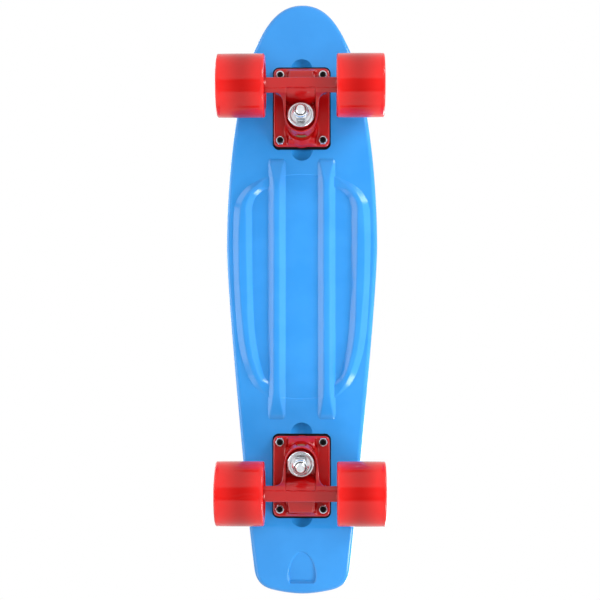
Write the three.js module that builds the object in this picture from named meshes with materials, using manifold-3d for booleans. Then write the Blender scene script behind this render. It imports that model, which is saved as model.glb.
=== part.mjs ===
// Plastic cruiser skateboard, standing on its wheels.
// Millimetres, +Z up, +Y towards the nose, X across the deck.
// The origin is on the ground below the middle of the deck.

import * as THREE from 'three';
import { mergeVertices } from 'three/addons/utils/BufferGeometryUtils.js';
import Module from 'manifold-3d';

const wasm = await Module();
wasm.setup();

// Clearances
const seat_gap = 0.3; // between two faces that rest on each other
const bore_gap = 0.3; // radial, between a shaft and its hole
const cut_overrun = 4; // how far a cutting body reaches past the wall it cuts
const join_overlap = 1.5; // how far a rib or boss is sunk into the wall that carries it

// Deck plate
const deck_length = 578;
const deck_width = 146.4;
const deck_thickness = 10;
const top_rim_radius = 3;
const bottom_rim_radius = 4.5;
const nose_bend_length = 74;
const nose_rise = 15;
const tail_kick_length = 68;
const tail_kick_radius = 90;
const tail_kick_angle = THREE.MathUtils.degToRad(19);
// Half outline from nose tip to tail end: two handles and an end per curve, each as
// [share of half the width, share of half the length, number of steps in the curve].
const outline_shares = [
  [[0.33, 1], [0.492, 0.92], [0.632, 0.837], 8],
  [[0.867, 0.699], [1, 0.415], [1, 0.173], 7],
  [[1, 0.035], [0.833, -0.394], [0.687, -0.775], 7],
  [[0.669, -0.821], [0.65, -0.867], [0.631, -0.913], 3],
  [[0.617, -0.948], [0.56, -0.974], [0.41, -0.985], 5],
  [[0.28, -0.994], [0.123, -1], [0, -1], 3],
];

// Ribs under the deck
const rib_height = 5;
const rib_base_width = 17;
const rib_slope_width = 4.6;
const rib_shoulder = 1.3; // size of the bevel between slope and flat
const rib_spacing = 48.2; // between the centres of the two straight ribs
const rib_nose_gap = 48; // from the middle of the front truck's bolts to the ribs' tips
const rib_tail_gap = 53;
const rib_nose_ramp = 24;
const rib_tail_ramp = 31;
const loop_nose_setback = 17.2; // from the ribs' tips to the end of the loop rib
const loop_tail_setback = 20.5;
const loop_edge_margin = 7; // from the deck's widest edge to the outer foot of the loop rib
// Outer and inner foot of the loop rib, as shares of its half width and half length.
const loop_foot_shares = [
  [[0.364, 1], [0.364, 0.895]],
  [[0.53, 0.993], [0.5, 0.89]],
  [[0.838, 0.885], [0.66, 0.825]],
  [[0.968, 0.765], [0.737, 0.73]],
  [[1, 0.65], [0.741, 0.6]],
  [[0.994, 0.08], [0.73, -0.03]],
  [[0.93, -0.475], [0.69, -0.5]],
  [[0.855, -0.66], [0.624, -0.735]],
  [[0.706, -0.842], [0.51, -0.865]],
  [[0.364, -1], [0.364, -0.94]],
];
const loop_stations = 22;
const panel_depth = 0.9; // the floor inside the loop rib lies this much deeper
const panel_edge_share = 0.2; // where the step is hidden under the loop rib
const slot_length = 100; // shallow moulded slot over each truck
const slot_width = 21;
const slot_depth = 1.4;

// Moulded frame on the tail, a plain rounded triangle
const mark_width = 27;
const mark_length = 33;
const mark_depth = 1.2;
const mark_from_tail = 10;
const mark_foot_share = 0.72; // width of its straight foot against its full width
const mark_foot_rise_share = 0.27; // height of the widest place above its foot

// Trucks
const front_truck_inset = 108; // middle of the bolt pattern, from the nose
const rear_truck_inset = 116.5; // the same, from the tail
const bolt_spacing_across = 41.28;
const bolt_spacing_along = 63.5;
const riser_thickness = 3;
const riser_side_show = 1.2; // how far the riser shows past the baseplate
const riser_end_show = 2.5;
const riser_corner = 6;
const riser_window_width = 26;
const riser_window_length = 42;
const plate_side_margin = 6.36; // from the bolt centres to the edge of the baseplate
const plate_end_margin = 6.5;
const plate_corner = 5;
const plate_thickness = 4.5;
const plate_edge_bevel = 0.8;
const plate_shift = 0.8; // plate and riser lie this much outboard of the bolt pattern
const block_top_width = 25.5;
const block_height = 3.5;
const block_draft = 2.2; // how much the block's foot is wider than its top, each side
const axle_offset = 14; // outboard of the middle of the bolt pattern
const axle_drop = 46; // below the underside of the deck

// Kingpin and what it carries, measured along it from the underside of the deck
const kingpin_lean = THREE.MathUtils.degToRad(12);
const kingpin_inset = 22; // inboard of the middle of the bolt pattern
const kingpin_diameter = 9.5;
const kingpin_head_start = 3;
const kingpin_head_height = 5;
const kingpin_end = 57;
const kingpin_end_chamfer = 1;
const kingpin_hex = 14.3; // across flats, head and nut
const seat_depth = 13;
const seat_diameter = 27;
const seat_foot_diameter = 33;
const washer_thickness = 1.5;
const washer_lip = 1.2;
const board_washer_diameter = 23.5;
const road_washer_diameter = 24.8;
const board_bushing_height = 11;
const board_bushing_diameter = 23.4;
const road_bushing_height = 10;
const road_bushing_diameter = 24;
const bushing_waist = 0.8;
const bushing_edge = 1.2;
const kingpin_nut_height = 8;
const kingpin_nut_chamfer = 1.2;

// Hanger
const hanger_width = 84.5;
const ring_thickness = 6.5;
const ring_bore_diameter = 13;
const yoke_width = 33.4;
const yoke_wall = 3.1;
const board_lip = 2; // rim around the seat of the board-side bushing
const road_lip = 5.4; // rim around the seat of the road-side bushing
const bar_width = 14;
const bar_above_axle = 7;
const bar_below_axle = 7.8;
const bar_bevel = 3;
const bar_lower_bevel = 1.6;
const bar_end_length = 6;
const bar_end_diameter = 17;
const bar_end_taper = 1.5;
const wing_reach = 6;
const web_thickness = 11;
const pivot_place = 24; // outboard of the middle of the bolt pattern
const pivot_depth = 14.5; // below the underside of the deck
const pivot_nose_diameter = 10;
const pivot_root_diameter = 13.5;
const pivot_nose_grip = 7; // length of the nose that sits in the cup
const pivot_cup_wall = 1.5;
const pivot_boss_wall = 3.6;

// Axle, wheels and bearings
const axle_diameter = 8;
const axle_overhang = 1.75; // past its nut
const axle_nut_hex = 13;
const axle_nut_height = 6.5;
const speed_ring_thickness = 1;
const speed_ring_diameter = 11.5;
const bearing_diameter = 22;
const bearing_width = 7;
const bearing_shield_diameter = 18.4;
const bearing_shield_depth = 0.4;
const bearing_race_diameter = 12;
const spacer_length = 10;
const spacer_diameter = 10.4;
const wheel_diameter = 60;
const wheel_width = 45;
const wheel_edge_radius = 4;
const wheel_face_diameter = 42; // where the flat face drops into the hub recess
const wheel_hub_diameter = 29;
const wheel_core_diameter = 17; // shoulder between the two bearing seats

// Mounting bolts
const bolt_diameter = 5;
const bolt_head_diameter = 9.6;
const bolt_head_height = 2.6;
const bolt_overhang = 1.6; // past its nut
const bolt_nut_hex = 8;
const bolt_nut_height = 4.8;

// Facets
const wheel_facets = 22;
const bearing_facets = 14;
const shaft_facets = 12;
const bolt_facets = 8;
const cup_facets = 14;
const corner_steps = 2;

// Values that follow from the sizes above
const wheel_radius = wheel_diameter / 2;
const underside = wheel_radius + axle_drop;
const half_length = deck_length / 2;
const half_width = deck_width / 2;
const nose_bend_start = half_length - nose_bend_length;
const tail_kick_start = half_length - tail_kick_length;
const front_truck_place = half_length - front_truck_inset;
const rear_truck_place = half_length - rear_truck_inset;
const rib_nose_end = front_truck_place - rib_nose_gap;
const rib_tail_end = rear_truck_place - rib_tail_gap;
const loop_nose_end = rib_nose_end - loop_nose_setback;
const loop_tail_end = rib_tail_end - loop_tail_setback;
const loop_middle = (loop_nose_end - loop_tail_end) / 2;
const loop_half_length = (loop_nose_end + loop_tail_end) / 2;
const loop_half_width = half_width - loop_edge_margin;
const plate_width = bolt_spacing_across + 2 * plate_side_margin;
const plate_length = bolt_spacing_along + 2 * plate_end_margin;
const riser_width = plate_width + 2 * riser_side_show;
const riser_length = plate_length + 2 * riser_end_show;
const plate_face = riser_thickness + plate_thickness;
const board_washer_start = seat_depth + seat_gap;
const board_bushing_start = board_washer_start + washer_thickness + seat_gap;
const ring_start = board_bushing_start + board_bushing_height + seat_gap;
const ring_end = ring_start + ring_thickness;
const road_bushing_start = ring_end + seat_gap;
const road_washer_start = road_bushing_start + road_bushing_height + seat_gap;
const kingpin_nut_start = road_washer_start + washer_thickness + seat_gap;
const lip_end = ring_end + road_lip;
const ring_middle = (ring_start + ring_end) / 2;
const ring_centre = new THREE.Vector3(
  0,
  ring_middle * Math.sin(kingpin_lean) - kingpin_inset,
  -ring_middle * Math.cos(kingpin_lean),
);
const pivot_centre = new THREE.Vector3(0, pivot_place, -pivot_depth);
const pivot_direction = pivot_centre.clone().sub(ring_centre).normalize();
const pivot_reach = pivot_centre.distanceTo(ring_centre);
const pivot_rise = Math.asin(pivot_direction.z);
const nose_tip = pivot_nose_diameter / 2;
const cup_radius = pivot_nose_diameter / 2 + bore_gap + pivot_cup_wall;
const cup_bottom = nose_tip + bore_gap + pivot_cup_wall;
const hub_line = hanger_width / 2;
const inner_ring_place = hub_line + seat_gap + speed_ring_thickness / 2;
const bearing_pitch = bearing_width + 2 * seat_gap + spacer_length;
const inner_bearing_place = hub_line + 2 * seat_gap + speed_ring_thickness + bearing_width / 2;
const wheel_place = inner_bearing_place + bearing_pitch / 2;
const outer_bearing_place = inner_bearing_place + bearing_pitch;
const outer_ring_place = outer_bearing_place + (bearing_width + speed_ring_thickness) / 2 + seat_gap;
const axle_nut_place = outer_ring_place + (speed_ring_thickness + axle_nut_height) / 2 + seat_gap;
const axle_length = 2 * (axle_nut_place + axle_overhang) + axle_nut_height;

const materials = {
  deck: ['#42a3f0', 0.32, 0],
  rubber: ['#101012', 0.75, 0],
  red_paint: ['#c41418', 0.35, 0.1],
  wheel: ['#e62d2d', 0.38, 0],
  bushing: ['#c89b4a', 0.5, 0],
  cup: ['#1c1c1f', 0.6, 0],
  zinc: ['#c9cdd2', 0.28, 0.9],
  yellow_zinc: ['#b99a58', 0.35, 0.85],
  steel: ['#b4b8bd', 0.3, 0.9],
};

// Closed bodies from three.js geometries, and back

function toSolid(geometry) {
  const bare = geometry.clone();
  bare.deleteAttribute('normal');
  bare.deleteAttribute('uv');
  const merged = mergeVertices(bare);
  const index = merged.index.array;
  const corners = [];
  for (let i = 0; i < index.length; i += 3) {
    const [a, b, c] = [index[i], index[i + 1], index[i + 2]];
    if (a !== b && b !== c && c !== a) corners.push(a, b, c);
  }
  return new wasm.Manifold(new wasm.Mesh({
    numProp: 3,
    vertProperties: new Float32Array(merged.attributes.position.array),
    triVerts: new Uint32Array(corners),
  }));
}

function toGeometry(solid) {
  const mesh = solid.getMesh();
  const geometry = new THREE.BufferGeometry();
  geometry.setAttribute('position', new THREE.BufferAttribute(new Float32Array(mesh.vertProperties), 3));
  geometry.setIndex(new THREE.BufferAttribute(new Uint32Array(mesh.triVerts), 1));
  geometry.computeVertexNormals();
  return geometry;
}

function combine(base, added, removed = []) {
  let solid = toSolid(base);
  for (const piece of added) solid = solid.add(toSolid(piece));
  for (const piece of removed) solid = solid.subtract(toSolid(piece));
  return toGeometry(solid);
}

function common(first, second) {
  return toGeometry(toSolid(first).intersect(toSolid(second)));
}

// A body of revolution about Z from a profile of [radius, height] pairs
function turned(profile, facets) {
  const points = profile.map(([radius, height]) => new THREE.Vector2(radius, height));
  return new THREE.LatheGeometry(points, facets).rotateX(Math.PI / 2);
}

function rod(radius, from, to, facets, chamfer = 0) {
  const profile = [[0, from], [radius - chamfer, from]];
  if (chamfer > 0) profile.push([radius, from + chamfer], [radius, to - chamfer]);
  else profile.push([radius, to]);
  if (chamfer > 0) profile.push([radius - chamfer, to]);
  profile.push([0, to]);
  return turned(profile, facets);
}

// A hole whose flats clear the given radius
function bore(radius, from, to, facets) {
  return rod(radius / Math.cos(Math.PI / facets), from, to, facets);
}

function hexagon(across_flats, from, to, chamfer = 0) {
  const corner = across_flats / Math.sqrt(3);
  const prism = rod(corner, from, to, 6);
  if (chamfer === 0) return prism;
  const cone = turned([
    [0, from],
    [across_flats / 2, from],
    [corner, from + chamfer],
    [corner, to - chamfer],
    [across_flats / 2, to],
    [0, to],
  ], bolt_facets);
  return common(prism, cone);
}

function roundedRectangle(width, length, corner) {
  const x = width / 2;
  const y = length / 2;
  const shape = new THREE.Shape();
  shape.moveTo(-x + corner, -y);
  shape.absarc(x - corner, -y + corner, corner, -Math.PI / 2, 0, false);
  shape.absarc(x - corner, y - corner, corner, 0, Math.PI / 2, false);
  shape.absarc(-x + corner, y - corner, corner, Math.PI / 2, Math.PI, false);
  shape.absarc(-x + corner, -y + corner, corner, Math.PI, Math.PI * 1.5, false);
  shape.closePath();
  return shape;
}

function slab(shape, bottom, thickness, bevel = 0, bevel_inset = bevel) {
  const geometry = new THREE.ExtrudeGeometry(shape, {
    depth: thickness - bevel,
    bevelEnabled: bevel > 0,
    bevelThickness: bevel,
    bevelSize: bevel_inset,
    bevelOffset: -bevel_inset,
    bevelSegments: 1,
    curveSegments: corner_steps,
  });
  return geometry.translate(0, 0, bottom);
}

// A block whose rectangle shrinks by its draft on every side as it rises
function draftedBlock(width, length, corner, height, draft) {
  const ring = (inset, z) => {
    const shape = roundedRectangle(width - 2 * inset, length - 2 * inset, corner);
    const points = shape.getPoints(corner_steps).slice(0, -1);
    return points.map((point) => new THREE.Vector3(point.x, point.y, z));
  };
  return loft([ring(0, 0), ring(draft, height)]);
}

// A side profile in the Y-Z plane, given as [outboard, height] pairs, extruded across X
function across(profile, width) {
  const shape = new THREE.Shape(profile.map(([y, z]) => new THREE.Vector2(y, z)));
  const geometry = new THREE.ExtrudeGeometry(shape, { depth: width, bevelEnabled: false });
  geometry.translate(0, 0, -width / 2);
  const sideways = new THREE.Matrix4().makeBasis(
    new THREE.Vector3(0, 1, 0),
    new THREE.Vector3(0, 0, 1),
    new THREE.Vector3(1, 0, 0),
  );
  return geometry.applyMatrix4(sideways);
}

// A skin through closed rings of equal count, closed at both ends
function loft(rings, cap_strips = false) {
  const count = rings[0].length;
  const corners = rings.flat().flatMap((point) => [point.x, point.y, point.z]);
  const faces = [];
  for (let r = 0; r + 1 < rings.length; r += 1) {
    for (let i = 0; i < count; i += 1) {
      const a = r * count + i;
      const b = r * count + ((i + 1) % count);
      faces.push(a, b, b + count, a, b + count, a + count);
    }
  }
  for (const [start, flip] of [[0, true], [(rings.length - 1) * count, false]]) {
    const triangles = [];
    if (cap_strips) {
      triangles.push([0, 1, count - 1]);
      for (let i = 1; i + 1 < count / 2; i += 1) {
        triangles.push([i, i + 1, count - i - 1], [i, count - i - 1, count - i]);
      }
      triangles.push([count / 2 - 1, count / 2, count / 2 + 1]);
    } else {
      for (let i = 1; i + 1 < count; i += 1) triangles.push([0, i, i + 1]);
    }
    for (const [a, b, c] of triangles) {
      if (flip) faces.push(start + c, start + b, start + a);
      else faces.push(start + a, start + b, start + c);
    }
  }
  const geometry = new THREE.BufferGeometry();
  geometry.setAttribute('position', new THREE.Float32BufferAttribute(corners, 3));
  geometry.setIndex(faces);
  return geometry;
}

// Deck

// How far the nose and the tail are lifted above the flat middle
function deckLift(y) {
  if (y > nose_bend_start) {
    return nose_rise * ((y - nose_bend_start) / nose_bend_length) ** 2;
  }
  const past = -y - tail_kick_start;
  if (past <= 0) return 0;
  const bend = tail_kick_radius * Math.sin(tail_kick_angle);
  const straight = Math.max(0, past - bend);
  const turned_part = Math.min(past, bend);
  const bend_rise = tail_kick_radius - Math.sqrt(tail_kick_radius ** 2 - turned_part ** 2);
  return bend_rise + straight * Math.tan(tail_kick_angle);
}

function bend(geometry) {
  const position = geometry.attributes.position;
  for (let i = 0; i < position.count; i += 1) {
    position.setZ(i, position.getZ(i) + deckLift(position.getY(i)));
  }
  return geometry;
}

function deckOutline() {
  const right = [new THREE.Vector2(0, half_length)];
  let start = right[0];
  for (const [first, second, last, steps] of outline_shares) {
    const place = ([x, y]) => new THREE.Vector2(x * half_width, y * half_length);
    const end = place(last);
    const curve = new THREE.CubicBezierCurve(start, place(first), place(second), end);
    right.push(...curve.getPoints(steps).slice(1));
    start = end;
  }
  const left = right.map((point) => new THREE.Vector2(-point.x, point.y));
  return left.concat(right.slice(1, -1).reverse());
}

function insetRing(outline, inset, height) {
  const count = outline.length;
  return outline.map((point, i) => {
    const before = outline[(i + count - 1) % count];
    const after = outline[(i + 1) % count];
    const along = after.clone().sub(before).normalize();
    return new THREE.Vector3(point.x - along.y * inset, point.y + along.x * inset, height);
  });
}

function deckPlate() {
  const outline = deckOutline();
  const quarter = [0, 1].map((step) => (step * Math.PI) / 4);
  const rings = [];
  for (const angle of quarter) {
    const inset = bottom_rim_radius * (1 - Math.sin(angle));
    rings.push(insetRing(outline, inset, bottom_rim_radius * (1 - Math.cos(angle))));
  }
  rings.push(insetRing(outline, 0, bottom_rim_radius));
  rings.push(insetRing(outline, 0, deck_thickness - top_rim_radius));
  for (const angle of quarter.slice().reverse()) {
    const inset = top_rim_radius * (1 - Math.sin(angle));
    rings.push(insetRing(outline, inset, deck_thickness - top_rim_radius * (1 - Math.cos(angle))));
  }
  return bend(loft(rings, true));
}

// Across a rib, from foot to foot: [share of the base width, share of the height]
function ribSection() {
  const slope = rib_slope_width / rib_base_width;
  const bevel = rib_shoulder / rib_base_width;
  const shoulder = 1 - rib_shoulder / rib_height;
  return [
    [0, 0],
    [slope - bevel, shoulder],
    [slope + bevel, 1],
    [1 - slope - bevel, 1],
    [1 - slope + bevel, shoulder],
    [1, 0],
  ];
}

function straightRib(side) {
  const section = new THREE.Shape();
  section.moveTo(-rib_base_width / 2, join_overlap);
  for (const [share, height] of ribSection()) {
    section.lineTo((share - 1 / 2) * rib_base_width, -height * rib_height);
  }
  section.lineTo(rib_base_width / 2, join_overlap);
  const length = rib_nose_end + rib_tail_end;
  const bar = new THREE.ExtrudeGeometry(section, { depth: length, bevelEnabled: false });
  bar.rotateX(Math.PI / 2).translate((side * rib_spacing) / 2, rib_nose_end, 0);
  const reach = rib_height + cut_overrun;
  const ramps = across([
    [-rib_tail_end, join_overlap + cut_overrun],
    [-rib_tail_end, 0],
    [-rib_tail_end + rib_tail_ramp * (reach / rib_height), -reach],
    [rib_nose_end - rib_nose_ramp * (reach / rib_height), -reach],
    [rib_nose_end, 0],
    [rib_nose_end, join_overlap + cut_overrun],
  ], deck_width);
  return common(bar, ramps);
}

function loopFeet(side) {
  return [0, 1].map((foot) => {
    const points = loop_foot_shares.map((pair) => {
      const [x, y] = pair[foot];
      return new THREE.Vector3(side * x * loop_half_width, loop_middle + y * loop_half_length, 0);
    });
    return new THREE.CatmullRomCurve3(points, false, 'centripetal').getSpacedPoints(loop_stations);
  });
}

function loopRib(side) {
  const [outer, inner] = loopFeet(side);
  const section = ribSection();
  const rings = outer.map((foot, i) => {
    const across_rib = inner[i].clone().sub(foot);
    const at = (share, height) => foot.clone().addScaledVector(across_rib, share).setZ(-height);
    const ring = section.map(([share, height]) => at(share, height * rib_height));
    ring.push(at(1, -join_overlap - panel_depth), at(0, -join_overlap - panel_depth));
    return side > 0 ? ring.reverse() : ring;
  });
  return loft(rings);
}

function loopPanel() {
  const edge = (side) => {
    const [outer, inner] = loopFeet(side);
    return outer.map((foot, i) => foot.clone().lerp(inner[i], panel_edge_share));
  };
  const around = edge(1).reverse().concat(edge(-1));
  const shape = new THREE.Shape(around.map((point) => new THREE.Vector2(point.x, point.y)));
  return slab(shape, -cut_overrun, cut_overrun + panel_depth);
}

function tailMark() {
  const foot = -half_length + mark_from_tail;
  const half = mark_width / 2;
  const widest = foot + mark_length * mark_foot_rise_share;
  const tip = foot + mark_length;
  const shape = new THREE.Shape();
  shape.moveTo(-half * mark_foot_share, foot);
  shape.lineTo(half * mark_foot_share, foot);
  shape.quadraticCurveTo(half, foot, half, widest);
  shape.bezierCurveTo(half, (widest + tip) / 2, half / 2, tip, 0, tip);
  shape.bezierCurveTo(-half / 2, tip, -half, (widest + tip) / 2, -half, widest);
  shape.quadraticCurveTo(-half, foot, -half * mark_foot_share, foot);
  return bend(slab(shape, -cut_overrun, cut_overrun + mark_depth));
}

function boltPlaces() {
  const places = [];
  for (const [truck, y] of [['front', front_truck_place], ['rear', -rear_truck_place]]) {
    for (const [end, dy] of [['nose', 1], ['tail', -1]]) {
      for (const [side, dx] of [['left', -1], ['right', 1]]) {
        const x = (dx * bolt_spacing_across) / 2;
        places.push({ name: `${truck}_${end}_${side}_bolt`, x, y: y + (dy * bolt_spacing_along) / 2 });
      }
    }
  }
  return places;
}

function deck() {
  const cuts = [loopPanel(), tailMark()];
  for (const y of [front_truck_place, -rear_truck_place]) {
    const slot = roundedRectangle(slot_width, slot_length, slot_width / 2);
    cuts.push(slab(slot, -cut_overrun, cut_overrun + slot_depth).translate(0, y, 0));
  }
  for (const { x, y } of boltPlaces()) {
    const shank = bolt_diameter / 2 + bore_gap;
    const head = bolt_head_diameter / 2 + bore_gap;
    const hole = bore(shank, -cut_overrun, deck_thickness + cut_overrun, bolt_facets);
    const countersink = turned([
      [0, deck_thickness - bolt_head_height - bore_gap],
      [shank, deck_thickness - bolt_head_height - bore_gap],
      [head, deck_thickness - bore_gap],
      [head, deck_thickness + cut_overrun],
      [0, deck_thickness + cut_overrun],
    ], bolt_facets);
    cuts.push(combine(hole, [countersink]).translate(x, y, 0));
  }
  const ribs = [-1, 1].flatMap((side) => [straightRib(side), loopRib(side)]);
  return toGeometry(toSolid(combine(deckPlate(), [], cuts)).add(toSolid(combine(ribs[0], ribs.slice(1)))));
}

// Mounting hardware

function mountingBolt() {
  const head = bolt_head_diameter / 2;
  const shank = bolt_diameter / 2;
  const length = deck_thickness + plate_face + seat_gap + bolt_nut_height + bolt_overhang;
  const bolt = turned([
    [0, -length],
    [shank, -length],
    [shank, -bolt_head_height],
    [head, -seat_gap],
    [head, 0],
    [0, 0],
  ], bolt_facets);
  const nut_start = -deck_thickness - plate_face - seat_gap;
  const nut = hexagon(bolt_nut_hex, nut_start - bolt_nut_height, nut_start);
  return combine(bolt, [nut]);
}

function boltHoles(from, to) {
  const holes = [];
  for (const dx of [-1, 1]) {
    for (const dy of [-1, 1]) {
      const hole = bore(bolt_diameter / 2 + bore_gap, from, to, bolt_facets);
      holes.push(hole.translate((dx * bolt_spacing_across) / 2, (dy * bolt_spacing_along) / 2, 0));
    }
  }
  return holes;
}

function riserPad() {
  const pad = slab(roundedRectangle(riser_width, riser_length, riser_corner), seat_gap - riser_thickness,
    riser_thickness - 2 * seat_gap).translate(0, plate_shift, 0);
  const window_shape = roundedRectangle(riser_window_width, riser_window_length, riser_corner);
  const window = slab(window_shape, -riser_thickness - cut_overrun, riser_thickness + 2 * cut_overrun);
  window.translate(0, plate_shift - kingpin_inset / 2, 0);
  return combine(pad, [], [window, ...boltHoles(-riser_thickness - cut_overrun, cut_overrun)]);
}

// Frames inside a truck

const kingpin_frame = new THREE.Matrix4()
  .makeTranslation(0, -kingpin_inset, 0)
  .multiply(new THREE.Matrix4().makeRotationX(kingpin_lean));
const pivot_frame = new THREE.Matrix4()
  .makeTranslation(ring_centre.x, ring_centre.y, ring_centre.z)
  .multiply(new THREE.Matrix4().makeRotationX(pivot_rise - Math.PI / 2));

function onKingpin(geometry) {
  return geometry.applyMatrix4(kingpin_frame);
}

function onPivot(geometry) {
  return geometry.applyMatrix4(pivot_frame);
}

// Baseplate

function baseplate() {
  const outline = roundedRectangle(plate_width, plate_length, plate_corner);
  const flange = slab(outline, 0, plate_thickness - plate_edge_bevel, plate_edge_bevel);
  flange.rotateX(Math.PI).translate(0, plate_shift, -riser_thickness);
  const foot_width = block_top_width + 2 * block_draft;
  const foot_length = plate_length - 2 * plate_edge_bevel;
  const block_rise = plate_edge_bevel + block_height;
  const block = draftedBlock(foot_width, foot_length, block_draft, block_rise, block_draft);
  block.rotateX(Math.PI).translate(0, plate_shift, -plate_face + plate_edge_bevel);
  const kingpin_boss = onKingpin(turned([
    [0, -seat_depth],
    [seat_diameter / 2, -seat_depth],
    [seat_foot_diameter / 2, -plate_face],
    [seat_foot_diameter / 2, cut_overrun],
    [0, cut_overrun],
  ], cup_facets));
  const mouth = pivot_reach - pivot_nose_grip + seat_gap;
  const housing_radius = cup_radius + bore_gap + pivot_boss_wall;
  // Point of the truck's Y-Z plane at a place along the pivot and below it
  const at = (along, below) => [
    ring_centre.y + along * pivot_direction.y + below * pivot_direction.z,
    ring_centre.z + along * pivot_direction.z - below * pivot_direction.y,
  ];
  const housing = across([
    at(mouth, -housing_radius),
    at(mouth, housing_radius - pivot_boss_wall / 2),
    at(mouth + pivot_boss_wall / 2, housing_radius),
    at(pivot_reach + cup_bottom, housing_radius),
    [plate_shift + foot_length / 2 - block_draft / 2, -plate_face - block_height],
    [plate_shift + foot_length / 2, -riser_thickness],
  ], block_top_width);
  const deck_area = roundedRectangle(deck_width, deck_width, riser_corner);
  const deck_side = slab(deck_area, -riser_thickness, deck_width);
  const head_room = kingpin_hex / Math.sqrt(3) + bore_gap;
  const head_seat = -kingpin_head_start - kingpin_head_height - seat_gap;
  const head_pocket = onKingpin(bore(head_room, head_seat, cut_overrun, bolt_facets));
  const pin_room = kingpin_diameter / 2 + bore_gap;
  const pin_hole = onKingpin(bore(pin_room, -seat_depth - cut_overrun, 0, shaft_facets));
  const spot_face = onKingpin(rod(seat_foot_diameter / 2, -kingpin_end, -seat_depth, cup_facets));
  const cup_socket = onPivot(bore(cup_radius + bore_gap, mouth - cut_overrun,
    pivot_reach + cup_bottom + seat_gap, cup_facets));
  const holes = boltHoles(-plate_face - block_height - cut_overrun, 0);
  return combine(flange, [block, kingpin_boss, housing],
    [deck_side, head_pocket, pin_hole, spot_face, cup_socket, ...holes]);
}

function pivotCup() {
  const inside = pivot_nose_diameter / 2 + bore_gap;
  const mouth = -pivot_nose_grip + 2 * seat_gap;
  return turned([
    [inside, mouth],
    [cup_radius, mouth],
    [cup_radius, cup_bottom],
    [0, cup_bottom],
    [0, cup_bottom - pivot_cup_wall],
    [inside * Math.SQRT1_2, cup_bottom - pivot_cup_wall - inside * (1 - Math.SQRT1_2)],
    [inside, 0],
    [inside, mouth],
  ], cup_facets);
}

// Hanger

function hangerBar() {
  const inner = axle_offset - bar_width / 2;
  const outer = axle_offset + bar_width / 2;
  const top = -axle_drop + bar_above_axle;
  const bottom = -axle_drop - bar_below_axle;
  return across([
    [inner + bar_bevel, top],
    [inner, top - bar_bevel],
    [inner, bottom + bar_lower_bevel * 2],
    [inner + bar_lower_bevel, bottom],
    [outer - bar_lower_bevel, bottom],
    [outer, bottom + bar_lower_bevel],
    [outer, top - bar_bevel],
    [outer - bar_bevel, top],
  ], hanger_width - 2 * bar_end_length);
}

function barEnds() {
  const radius = bar_end_diameter / 2;
  const ends = turned([
    [0, -hanger_width / 2],
    [radius - bar_end_taper, -hanger_width / 2],
    [radius, bar_end_taper - hanger_width / 2],
    [radius, hanger_width / 2 - bar_end_taper],
    [radius - bar_end_taper, hanger_width / 2],
    [0, hanger_width / 2],
  ], cup_facets);
  return ends.rotateY(Math.PI / 2).translate(0, axle_offset, -axle_drop);
}

// The yoke seen along the kingpin: a round end about the kingpin, straight sides to the bar
function yokeOutline(width, reach) {
  const shape = new THREE.Shape();
  shape.absarc(0, 0, width / 2, -Math.PI, 0, false);
  shape.lineTo(width / 2, reach);
  shape.lineTo(-width / 2, reach);
  shape.closePath();
  return shape;
}

function yoke() {
  const bar_inner = axle_offset - bar_width / 2;
  const start = -ring_start + board_lip;
  const road_end = kingpin_end + cut_overrun;
  const cos = Math.cos(kingpin_lean);
  const sin = Math.sin(kingpin_lean);
  // Point of the truck's Y-Z plane at a place along and outboard of the kingpin
  const at = (along, out) => [out * cos + along * sin - kingpin_inset, out * sin - along * cos];
  const reach = bar_inner + kingpin_inset;
  const outline = new THREE.Shape(yokeOutline(yoke_width, reach).getPoints(5 * corner_steps));
  const prism = onKingpin(slab(outline, -road_end, road_end + start));
  const back = -yoke_width;
  const lip = new THREE.QuadraticBezierCurve(
    new THREE.Vector2(bar_inner, -axle_drop - bar_below_axle + bar_lower_bevel * 2),
    new THREE.Vector2(...at(lip_end, yoke_width / 3)),
    new THREE.Vector2(...at(lip_end, -yoke_width / 6)),
  ).getPoints(corner_steps + 1).map((point) => [point.x, point.y]);
  const side = across([
    at(-start, back),
    at(-start, yoke_width / 3),
    [bar_inner, -axle_drop + bar_above_axle + bar_bevel],
    [axle_offset, -axle_drop],
    [bar_inner + bar_lower_bevel, -axle_drop - bar_below_axle],
    ...lip,
    at(lip_end, back),
  ], yoke_width * 2);
  return common(prism, side);
}

function yokePocket() {
  const width = yoke_width - 2 * yoke_wall;
  const bar_face = axle_offset - bar_width / 2 + kingpin_inset;
  const bar_edge = (bar_face - kingpin_end * Math.sin(kingpin_lean)) / Math.cos(kingpin_lean);
  const depth = kingpin_end - ring_end;
  const scoop = new THREE.Shape();
  scoop.moveTo(0, -ring_end);
  scoop.lineTo(width / 4, -ring_end);
  scoop.quadraticCurveTo(bar_edge - bar_lower_bevel, -ring_end - depth / 4, bar_edge, -kingpin_end);
  scoop.lineTo(bar_edge, -kingpin_end - cut_overrun);
  scoop.lineTo(0, -kingpin_end - cut_overrun);
  const profile = scoop.getPoints(corner_steps + 2).map((point) => [point.x, point.y]);
  const channel = across(profile, width);
  const bowl = bore(width / 2, -kingpin_end - cut_overrun, -ring_end, cup_facets);
  const pin_room = ring_bore_diameter / 2;
  const pin_hole = bore(pin_room, -ring_end - cut_overrun, cut_overrun - ring_start, shaft_facets);
  const seat = bore(board_bushing_diameter / 2 + 2 * bore_gap, -ring_start, -seat_depth, cup_facets);
  return onKingpin(combine(channel, [bowl, pin_hole, seat]));
}

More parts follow.
